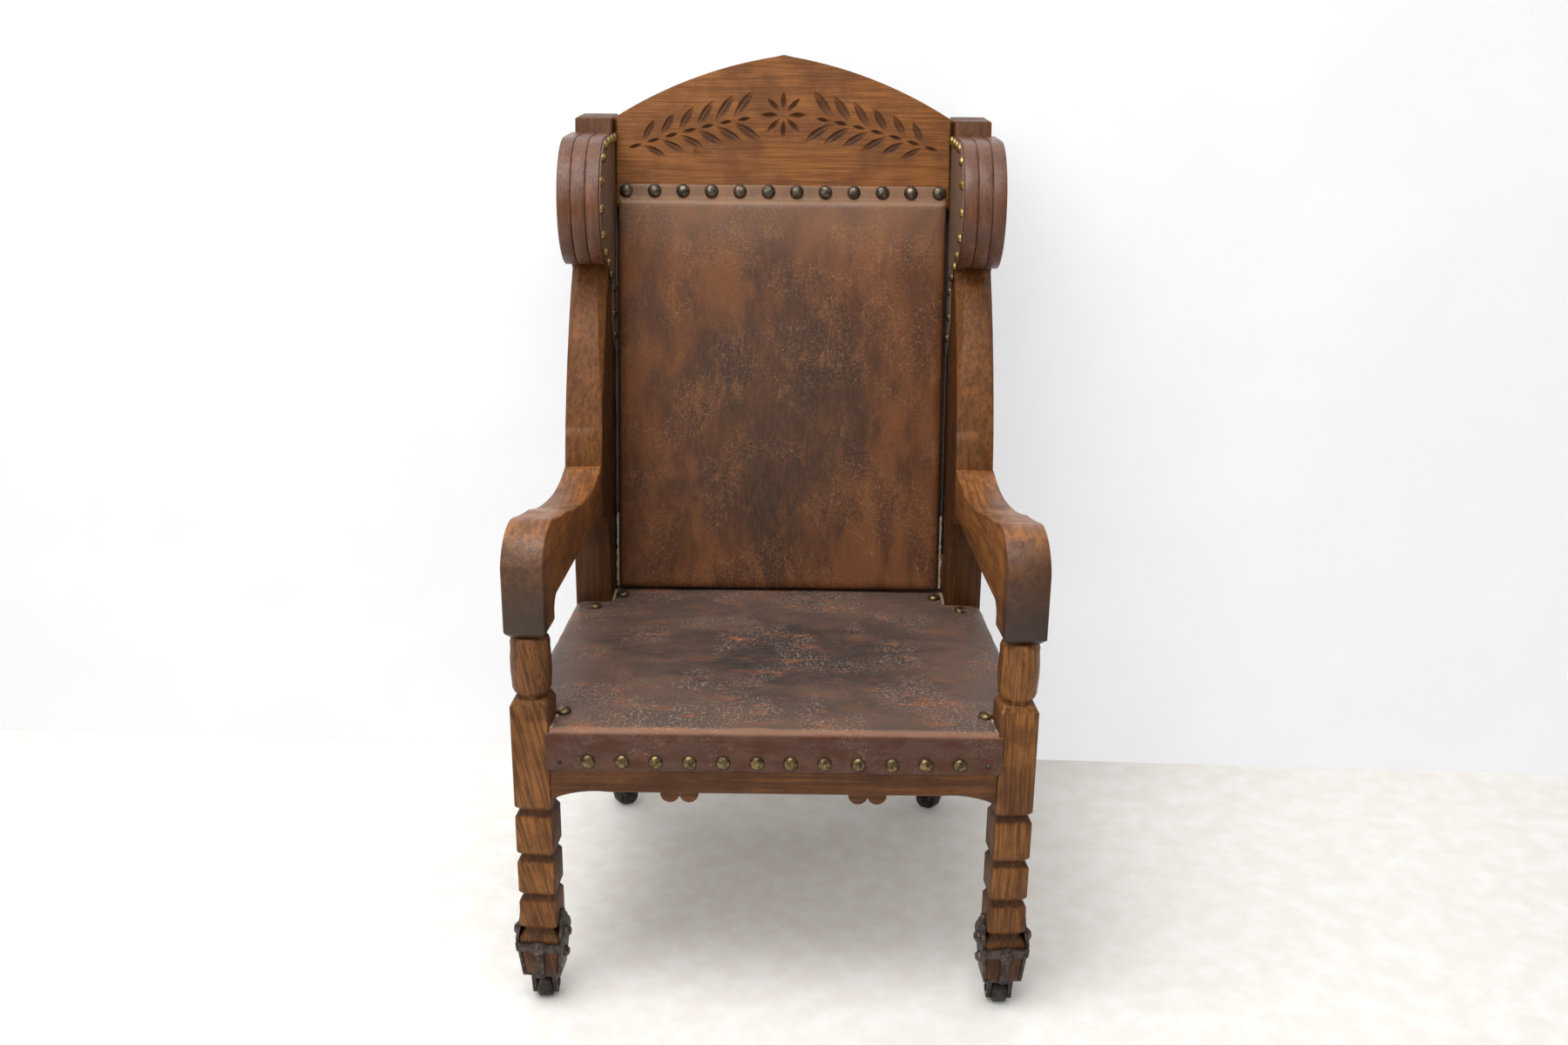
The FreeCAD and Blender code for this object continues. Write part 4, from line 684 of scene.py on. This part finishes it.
def laurel_cutter():
    # All leaves in mm from the middle of the board; each starts a little way out from the stem.
    depth = 3.6 * MM
    width_share = 0.28
    petals = 8
    petal_length = 30
    petal_start = 8
    pitch = 29.5
    first_pair = 84
    pairs = 6
    leaf_length = 56
    shorter = 3.2
    leaf_start = 5
    leaf_angle = math.radians(44)
    first_stem = 75.5
    stems = 7
    stem_length = 23
    near = 0.001
    lay = Matrix.Translation(BACK_FOOT) @ Matrix.Rotation(-RECLINE, 4, "X")
    cutters = []

    def cut_leaf(x, v, angle, length, start):
        leaf = leaf_cutter(length * MM, length * width_share * MM, depth)
        turn = Matrix.Rotation(angle, 4, "Y")
        place = Vector((x, 0, v)) + turn @ Vector((0, 0, (start + length / 2) * MM))
        leaf.data.transform(lay @ Matrix.Translation(place) @ turn)
        cutters.append(leaf)

    def inward(x, way):
        slope = math.atan2(branch_line(x + near) - branch_line(x - near), 2 * near)
        return -way * math.pi / 2 - slope

    for petal in range(petals):
        cut_leaf(0, BRANCH_MIDDLE, math.radians(360 / petals * petal), petal_length, petal_start)
    for way in (-1, 1):
        for number in range(pairs):
            x = way * (first_pair + pitch * number) * MM
            for side in (-1, 1):
                cut_leaf(x, branch_line(x), inward(x, way) + side * leaf_angle,
                         leaf_length - shorter * number, leaf_start)
        for number in range(stems):
            x = way * (first_stem + pitch * number) * MM
            cut_leaf(x, branch_line(x), inward(x, way), stem_length, 0)
    return join(cutters)


def crest_board():
    edge = 1.6 * MM
    columns = range(-11, 12)
    column_step_mm = 24.7
    rows = range(7)
    row_foot_mm = 693
    row_step_mm = 21.3
    board = merged_copy("crest_board", "crest_board_carved")
    modifier(board, "BEVEL", width=edge, segments=2, limit_method="ANGLE", angle_limit=EDGE_ANGLE)
    apply_modifiers(board)
    # The board is divided into small faces, so that the edges of the carving stay clean.
    edit(board)
    for step in columns:
        bpy.ops.mesh.select_all(action="SELECT")
        bpy.ops.mesh.bisect(plane_co=(step * column_step_mm * MM, 0, 0), plane_no=(1, 0, 0))
    for step in rows:
        bpy.ops.mesh.select_all(action="SELECT")
        up = (row_foot_mm + step * row_step_mm) * MM
        bpy.ops.mesh.bisect(plane_co=BACK_FOOT + up * UP_THE_BACK, plane_no=UP_THE_BACK)
    done()
    cut_away(board, [laurel_cutter()])
    smooth(board, 20)
    modifier(board, "WEIGHTED_NORMAL", mode="FACE_AREA", weight=100, keep_sharp=True)
    apply_modifiers(board)
    dress(board, OAK_CREST)
    stand_for(board, ["crest_board"], "chair")


# Dome nails


def clusters(name):
    # Centres of the separate nails of a CAD node.
    places = points(nodes[name])
    left = list(range(len(places)))
    centres = []
    while left:
        seed = places[left[0]]
        near = [i for i in left if np.linalg.norm(places[i] - seed) < HEAD_REACH]
        group = places[near]
        seed = (group.min(0) + group.max(0)) / 2
        centres.append(Vector(seed))
        left = [i for i in left if np.linalg.norm(places[i] - seed) >= HEAD_APART]
    return centres


def dome(radius, height, direction, place, seed):
    # Half a ball, a little flat, hammered in not quite straight.
    lean_share = 0.16
    lean_size = 0.03
    wider_share = 0.05
    wider_size = 0.02
    bpy.ops.mesh.primitive_uv_sphere_add(segments=20, ring_count=12, radius=1)
    head = bpy.context.object
    edit(head)
    bpy.ops.mesh.bisect(plane_co=(0, 0, 0), plane_no=(0, 0, 1), clear_inner=True, use_fill=True)
    done()
    lean = Vector([noise_at(place, lean_size, seed + more) for more in (0, 5, 9)])
    aim = (Vector(direction) + lean * lean_share).normalized()
    turn = aim.to_track_quat("Z", "Y").to_matrix().to_4x4()
    wide = radius * (1 + wider_share * noise_at(place, wider_size, seed + 3))
    size = Matrix.Diagonal((wide, wide, height, 1))
    seat = Vector(place) - Vector(direction).normalized() * NAIL_SINK
    head.data.transform(Matrix.Translation(seat) @ turn @ size)
    return head


def side_or_rear(centre):
    rear_face = LEG_FRONT + 590 * MM
    if centre.y > rear_face:
        return Vector((0, 1, 0))
    return Vector((math.copysign(1, centre.x), 0, 0))


# Rows of nails: node, radius and height of a head in mm, where they point, material
NAILS = [("seat_front_nails", 10, 6, Vector((0, -1, 0)), RUBBED_BRASS),
         ("back_top_nails", 11.4, 8, OUT_OF_THE_BACK, BRONZE),
         ("seat_corner_nails", 10.5, 6, Vector((0, 0, 1)), RUBBED_BRASS),
         ("seat_side_nails", 10, 6, side_or_rear, RUBBED_BRASS),
         ("outside_back_nails", 9, 5, -OUT_OF_THE_BACK, BRONZE),
         ("wing_nails_left", 7.8, 6.4, Vector((1, 0, 0)), BRASS),
         ("wing_nails_right", 7.8, 6.4, Vector((-1, 0, 0)), BRASS)]


def nail_row(name, radius_mm, height_mm, direction, material):
    heads = []
    for number, centre in enumerate(clusters(name)):
        aim = direction(centre) if callable(direction) else direction
        heads.append(dome(radius_mm * MM, height_mm * MM, aim, centre, number * 1.37))
    row = join(heads)
    row.name = name + "_domed"
    smooth(row, 60)
    dress(row, material)
    stand_for(row, [name], "chair")


def front_tacks():
    # Two dark tacks hold the lower corners of the skirt.
    across = 296 * MM
    height = 402 * MM
    radius = 4.5 * MM
    proud = 2.5 * MM
    front = Vector((0, -1, 0))
    for way, side in SIDES:
        place = Vector((way * across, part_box("seat_leather")[0].y, height))
        tack = dome(radius, proud + NAIL_SINK, front, place, 2.0)
        tack.name = "front_tack_" + side
        smooth(tack, 60)
        dress(tack, IRON)
        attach(tack, "chair")


def nails():
    for row in NAILS:
        nail_row(*row)
    front_tacks()


# Leather, as folded sheets that are blown up a little by the stuffing


def fold(distance, edge, radius):
    # Along a sheet that turns down over a rounded edge: how far out and how far down a point lies.
    flat = edge - radius
    arc = radius * math.pi / 2
    size = abs(distance)
    sign = 1 if distance >= 0 else -1
    if size <= flat:
        return distance, 0.0
    if size <= flat + arc:
        angle = (size - flat) / radius
        return sign * (flat + radius * math.sin(angle)), radius * (1 - math.cos(angle))
    return sign * edge, radius + size - flat - arc


def blow_up(sheet, held, pressure=3.0, cap=5 * MM, frames=20):
    # Cloth held where it is nailed, with the stuffing's pressure behind the rest.
    before = points(sheet)
    group = sheet.vertex_groups.new(name="nailed")
    group.add([int(i) for i in np.nonzero(held)[0]], 1.0, "REPLACE")
    cloth = modifier(sheet, "CLOTH")
    settings = cloth.settings
    settings.quality = 6
    settings.mass = 0.4
    settings.tension_stiffness = 30
    settings.compression_stiffness = 30
    settings.shear_stiffness = 15
    settings.bending_stiffness = 4
    settings.use_pressure = True
    settings.uniform_pressure_force = pressure
    settings.vertex_group_mass = "nailed"
    settings.effector_weights.gravity = 0
    cloth.collision_settings.use_collision = False
    cloth.point_cache.frame_start = 1
    cloth.point_cache.frame_end = frames
    scene = bpy.context.scene
    for number in range(1, frames + 1):
        scene.frame_set(number)
    apply_modifiers(sheet)
    scene.frame_set(1)
    moved = points(sheet) - before
    length = np.linalg.norm(moved, axis=1, keepdims=True)
    set_points(sheet, before + moved * np.minimum(1, cap / np.maximum(length, 1e-9)))
    sheet.vertex_groups.clear()


def press(sheet, centres, radius, depth, into):
    # The leather sinks a little round each nail, in the given direction.
    places = points(sheet)
    for centre in centres:
        away = np.linalg.norm(places - np.array(centre), axis=1)
        share = np.clip(1 - away / radius, 0, 1)
        places += (share * share * (3 - 2 * share) * depth)[:, None] * np.array(into)
    set_points(sheet, places)


def crease(sheet, amount, size, stretch, seed):
    # Dents and pulls of old leather of about the given size, along the faces' own directions.
    normals = np.zeros(len(sheet.data.vertices) * 3)
    sheet.data.vertices.foreach_get("normal", normals)
    places = points(sheet)
    waves = [noise_at((x / stretch[0], y / stretch[1], z / stretch[2]), size, seed) for x, y, z in places]
    set_points(sheet, places + np.array(waves)[:, None] * normals.reshape(-1, 3) * amount)


def thicken(sheet):
    modifier(sheet, "SOLIDIFY", thickness=LEATHER, offset=-1)
    modifier(sheet, "SUBSURF", levels=1, render_levels=1)
    apply_modifiers(sheet)


def half_seat(y):
    # Half the width of the leather over the side rails, which draw in towards the rear.
    draw_in = 0.0571
    widest = LEG_FRONT + 56 * MM
    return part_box("seat_leather")[1].x - draw_in * (y - widest)


def leg_cutters(way):
    # Two blocks that leave room for a front leg: its own corner, and all in front of it.
    notch = LEG_HALF + 0.3 * MM
    beside = -22 * MM
    bottom = 0.3
    top = 0.6
    far = 120 * MM
    axis = Vector((way * LEG_AXIS.x, LEG_AXIS.y, 0))
    turn = Matrix.Translation(axis) @ Matrix.Rotation(way * LEG_TURN, 4, "Z") @ Matrix.Translation(-axis)
    cutters = []
    for inner, front in ((-notch, -notch), (beside, -far)):
        xs = sorted((axis.x + way * inner, axis.x + way * far))
        cutter = block((xs[0], axis.y + front, bottom), (xs[1], axis.y + notch, top))
        cutter.data.transform(turn)
        cutters.append(cutter)
    return cutters


def post_cutters(way):
    # Two blocks that leave room for a rear post, whose lower front edge slopes to the rear.
    inner = POST_INNER + 0.1 * MM
    outer = 420 * MM
    rear = LEG_FRONT + 800 * MM
    shank_top = 0.448
    overlap = 0.1 * MM
    bottom = 0.3
    top = 0.6
    slope = 54 * MM
    near = 5 * MM
    xs = sorted((way * inner, way * outer))
    upper = block((xs[0], POST_FRONT, shank_top), (xs[1], rear, top))
    shank = block((xs[0], POST_FRONT, bottom), (xs[1], rear, shank_top + overlap))
    places = points(shank)
    front = places[:, 1] < POST_FRONT + near
    places[front & (places[:, 2] < bottom + near), 1] += slope
    set_points(shank, places)
    return [upper, shank]


def seat_leather():
    low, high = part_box("seat_leather")
    half_front = half_seat(low.y)
    depth = high.y - low.y
    middle = (high.y + low.y) / 2
    skirt = SEAT_TOP - low.z
    radius = 9 * MM
    crown_height = 5 * MM
    open_corner = 12 * MM
    slow_dents = (1.1 * MM, 0.05, (1, 1, 1), 3.1)
    small_dents = (0.5 * MM, 0.014, (1, 1, 4), 8.3)
    front_pits = (20 * MM, 1.6 * MM, (0, 1, 0))
    corner_pits = (30 * MM, 2.5 * MM, (0, 0, -1))
    step = 6.8 * MM
    sheet = grid("seat_leather_worn", 2 * (half_front + skirt), depth + 2 * skirt, step)
    placed = []
    held = []
    drop = []
    for x, y, _ in points(sheet):
        out_y, down_y = fold(y, depth / 2, radius)
        here = middle + out_y
        half = half_seat(here)
        if abs(x) < half_front:
            along_x = x * half / half_front
        else:
            along_x = x - math.copysign(half_front - half, x)
        out_x, down_x = fold(along_x, half, radius)
        drop.append(down_x > open_corner and down_y > open_corner)
        down = max(down_x, down_y)
        across = max(0, 1 - (out_x / half) ** 2)
        along = max(0, 1 - ((here - middle) / (depth / 2)) ** 2)
        crown = crown_height * (across * along) ** 0.5 if down < 0.001 * MM else 0
        placed.append((out_x, here, SEAT_TOP - down + crown))
        held.append(down > radius * 1.5)
    set_points(sheet, placed)
    blow_up(sheet, np.array(held))
    drop_points(sheet, np.array(drop))
    crease(sheet, *slow_dents)
    crease(sheet, *small_dents)
    press(sheet, clusters("seat_front_nails"), *front_pits)
    press(sheet, clusters("seat_corner_nails"), *corner_pits)
    thicken(sheet)
    cutters = []
    for way in (-1, 1):
        cutters += leg_cutters(way) + post_cutters(way)
    cut_away(sheet, cutters)
    smooth(sheet, 50)
    dress(sheet, SEAT_HIDE)
    stand_for(sheet, ["seat_leather"], "chair")


def back_leather():
    # Drawn flat in x (across) and y (up the back), folded back at its edges, then laid on the frame.
    half = 268 * MM
    low = 4.5 * MM
    top = 650 * MM
    strip = 674 * MM
    proud = 14 * MM
    ledge = proud - 3.0 * MM
    wrap = 36 * MM
    top_wrap = 38 * MM
    radius = 7 * MM
    crown_height = 7 * MM
    open_corner = 8 * MM
    slow_dents = (0.9 * MM, 0.06, (1, 3, 1), 5.7)
    top_pits = (17 * MM, 1.4 * MM, -OUT_OF_THE_BACK)
    step = 6 * MM
    height = top - low
    middle = (top + low) / 2
    sheet = grid("back_leather_worn", 2 * (half + wrap), height + wrap + top_wrap, step)
    shift = (top_wrap - wrap) / 2
    placed = []
    held = []
    drop = []
    for x, y, _ in points(sheet):
        y = y + shift
        out_x, back_x = fold(x, half, radius)
        out_y, back_y = fold(y, height / 2, radius)
        v = middle + out_y
        if y > 0 and back_y > ledge:
            # The strip under the top nails lies flat on the crest board.
            v = top + (back_y - ledge)
            back_y = ledge
            held.append(True)
        else:
            held.append(max(back_x, back_y) > radius * 1.4)
        back = max(back_x, back_y)
        across = max(0, 1 - (out_x / half) ** 2)
        along = max(0, 1 - (out_y * 2 / height) ** 2)
        crown = crown_height * (across * along) ** 0.5
        if back < 1e-6:
            back = back - crown
        placed.append((out_x, v, proud - back))
        low_corner = y < -height / 2 and back_y > open_corner
        drop.append((back_x > open_corner and (y > height / 2 or low_corner))
                    or v > strip or (v > top and abs(out_x) >= half))
    set_points(sheet, placed)
    blow_up(sheet, np.array(held))
    drop_points(sheet, np.array(drop))
    crease(sheet, *slow_dents)
    thicken(sheet)
    lay = Matrix.Identity(4)
    for column, axis in enumerate((Vector((1, 0, 0)), UP_THE_BACK, OUT_OF_THE_BACK)):
        lay.col[column] = (*axis, 0)
    lay.translation = BACK_FOOT
    sheet.data.transform(lay)
    press(sheet, clusters("back_top_nails"), *top_pits)
    smooth(sheet, 50)
    dress(sheet, BACK_HIDE)
    stand_for(sheet, ["back_leather"], "chair")


def sheet_area(piece):
    # Area of one side of a thin flat piece.
    normals = np.zeros(len(piece.data.polygons) * 3)
    areas = np.zeros(len(piece.data.polygons))
    piece.data.polygons.foreach_get("normal", normals)
    piece.data.polygons.foreach_get("area", areas)
    return float(areas[normals.reshape(-1, 3)[:, 0] > 0.9].sum())


def thin_leather():
    # The leather on the inner faces of the wings and the cover outside the back, nailed flat.
    edge_mm = 0.8
    cad_half = 274 * MM
    wing_area = 0.0
    for name in ("wing_leather_left", "wing_leather_right"):
        piece = eased_piece(name, edge_mm, WING_HIDE)
        if not wing_area:
            wing_area = sheet_area(piece)
    cover = eased_piece("back_outer_cover", edge_mm, WING_HIDE)
    places = points(cover)
    places[:, 0] *= POST_INNER / cad_half
    set_points(cover, places)


def frayed_edge(name, start, end, out, width, seed):
    # A torn strip of canvas that shows at a cut edge of the leather.
    thread = 0.5 * MM
    lifted = 0.6 * MM
    torn_share = 0.45
    torn_size = 0.004
    lifted_size = 0.003
    long = (end - start).length
    out = out.normalized()
    across = out.cross((end - start).normalized())
    strip = grid(name, 1, 1, 0.24)
    edit(strip)
    bpy.ops.mesh.subdivide(number_cuts=5)
    done()
    placed = []
    for x, y, _ in points(strip):
        along = x + 0.5
        edge = y + 0.5
        torn = 1 - torn_share + torn_share * noise_at((along * long, seed, 0), torn_size, seed)
        lift = lifted * noise_at((along * long, edge * width, seed), lifted_size, seed + 2)
        placed.append(start + (end - start) * along + out * (edge * width * torn) + across * lift)
    set_points(strip, placed)
    modifier(strip, "SOLIDIFY", thickness=thread, offset=0)
    apply_modifiers(strip)
    smooth(strip, 60)
    dress(strip, CANVAS)
    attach(strip, "chair")


def frayed_edges():
    # Canvas beside each front leg and each post, and low down on each side of the back.
    notch = LEG_HALF + 0.3 * MM
    beside_leg = (-24 * MM, 22 * MM)
    beside_post = (LEG_FRONT + 476 * MM, LEG_FRONT + 528 * MM)
    up_the_side = (6 * MM, 130 * MM)
    leg_top = Vector((0, 0, SEAT_TOP + 0.2 * MM))
    post_top = SEAT_TOP + 1 * MM
    back_edge = 270.5 * MM
    for number, (way, side) in enumerate(SIDES):
        turn = Matrix.Rotation(way * LEG_TURN, 3, "Z")
        axis = Vector((way * LEG_AXIS.x, LEG_AXIS.y, 0))
        start, end = [axis + turn @ Vector((-way * notch, y, 0)) + leg_top for y in beside_leg]
        frayed_edge("canvas_leg_" + side, start, end, Vector((-way, 0, 0.25)), 5 * MM, 1.3 + number)
        start, end = [Vector((way * POST_INNER, y, post_top)) for y in beside_post]
        frayed_edge("canvas_post_" + side, start, end, Vector((-way, 0, 0.6)), 7 * MM, 2.7 + number)
        foot = BACK_FOOT + Vector((way * back_edge, 0, 0))
        start, end = [foot + up * UP_THE_BACK for up in up_the_side]
        frayed_edge("canvas_back_" + side, start, end, Vector((way, -0.4, 0)), 6 * MM, 4.1 + number)


# Ironwork, and what is under the leather


def ironwork():
    for foot in FEET:
        eased_piece("shoe_" + foot, 1.0, IRON)
        eased_piece("shoe_bolts_" + foot, 2.0, BOLT_IRON, segments=3)
        eased_piece("fork_" + foot, 0.8, WHEEL_IRON, "swivel_" + foot)
        eased_piece("axle_" + foot, 0.6, WHEEL_IRON, "swivel_" + foot)
        eased_piece("wheel_" + foot, 0.8, WHEEL_IRON, "roller_" + foot)


def under_leather():
    for name in ("seat_webbing", "back_webbing"):
        eased_piece(name, 0.5, JUTE)
    for name in ("seat_stuffing", "back_stuffing"):
        eased_piece(name, 2.0, HAIR)


# Room, light and camera


def plane(name, lay, paint):
    bpy.ops.mesh.primitive_plane_add(size=1)
    made = bpy.context.object
    made.name = name
    made.data.transform(lay)
    dress(made, paint)
    return made


def room():
    along = (WALL_RIGHT - WALL_LEFT).normalized()
    middle = (WALL_LEFT + WALL_RIGHT) / 2
    upright = (Matrix.Translation(middle) @ Matrix.Rotation(math.atan2(along.y, along.x), 4, "Z")
               @ Matrix.Rotation(math.pi / 2, 4, "X") @ Matrix.Diagonal((ROOM_WIDTH, WALL_HEIGHT, 1, 1)))
    floor = plane("studio_floor", Matrix.Diagonal((ROOM_WIDTH, ROOM_WIDTH, 1, 1)),
                  studio_paint("floor_paint_pale", "f6f5f2", "efebe5", 45, 0.1))
    wall = plane("studio_wall", upright,
                 studio_paint("wall_paint_white", "fbfbfc", "f8f8fa", 260, 0.6, one_sided=True))


def lamp(name, place, size, power, aim):
    data = bpy.data.lights.new(name, "AREA")
    data.shape = "RECTANGLE"
    data.size, data.size_y = size
    data.energy = power
    light = bpy.data.objects.new(name, data)
    bpy.context.scene.collection.objects.link(light)
    light.location = place
    light.rotation_euler = (Vector(aim) - Vector(place)).to_track_quat("-Z", "Y").to_euler()


def lights():
    tone, strength = SKY
    world = bpy.data.worlds.new("studio_world")
    bpy.context.scene.world = world
    world.use_nodes = True
    sky = world.node_tree.nodes["Background"]
    sky.inputs[0].default_value = colour(tone)
    sky.inputs[1].default_value = strength
    for settings in LAMPS:
        lamp(*settings)


def camera():
    data = bpy.data.cameras.new("camera")
    data.sensor_width = SENSOR_MM
    data.lens = FOCAL_PIXELS / PICTURE_WIDTH * SENSOR_MM
    eye = bpy.data.objects.new("camera", data)
    bpy.context.scene.collection.objects.link(eye)
    eye.matrix_world = (Matrix.Translation(CAMERA_PLACE) @ Matrix.Rotation(-CAMERA_YAW, 4, "Z")
                        @ Matrix.Rotation(math.pi / 2 - CAMERA_PITCH, 4, "X")
                        @ Matrix.Rotation(CAMERA_ROLL, 4, "Z"))
    bpy.context.scene.camera = eye


bpy.context.scene.view_settings.view_transform = "Standard"
camera()
room()
lights()
woodwork()
crest_board()
seat_leather()
back_leather()
thin_leather()
frayed_edges()
nails()
ironwork()
under_leather()
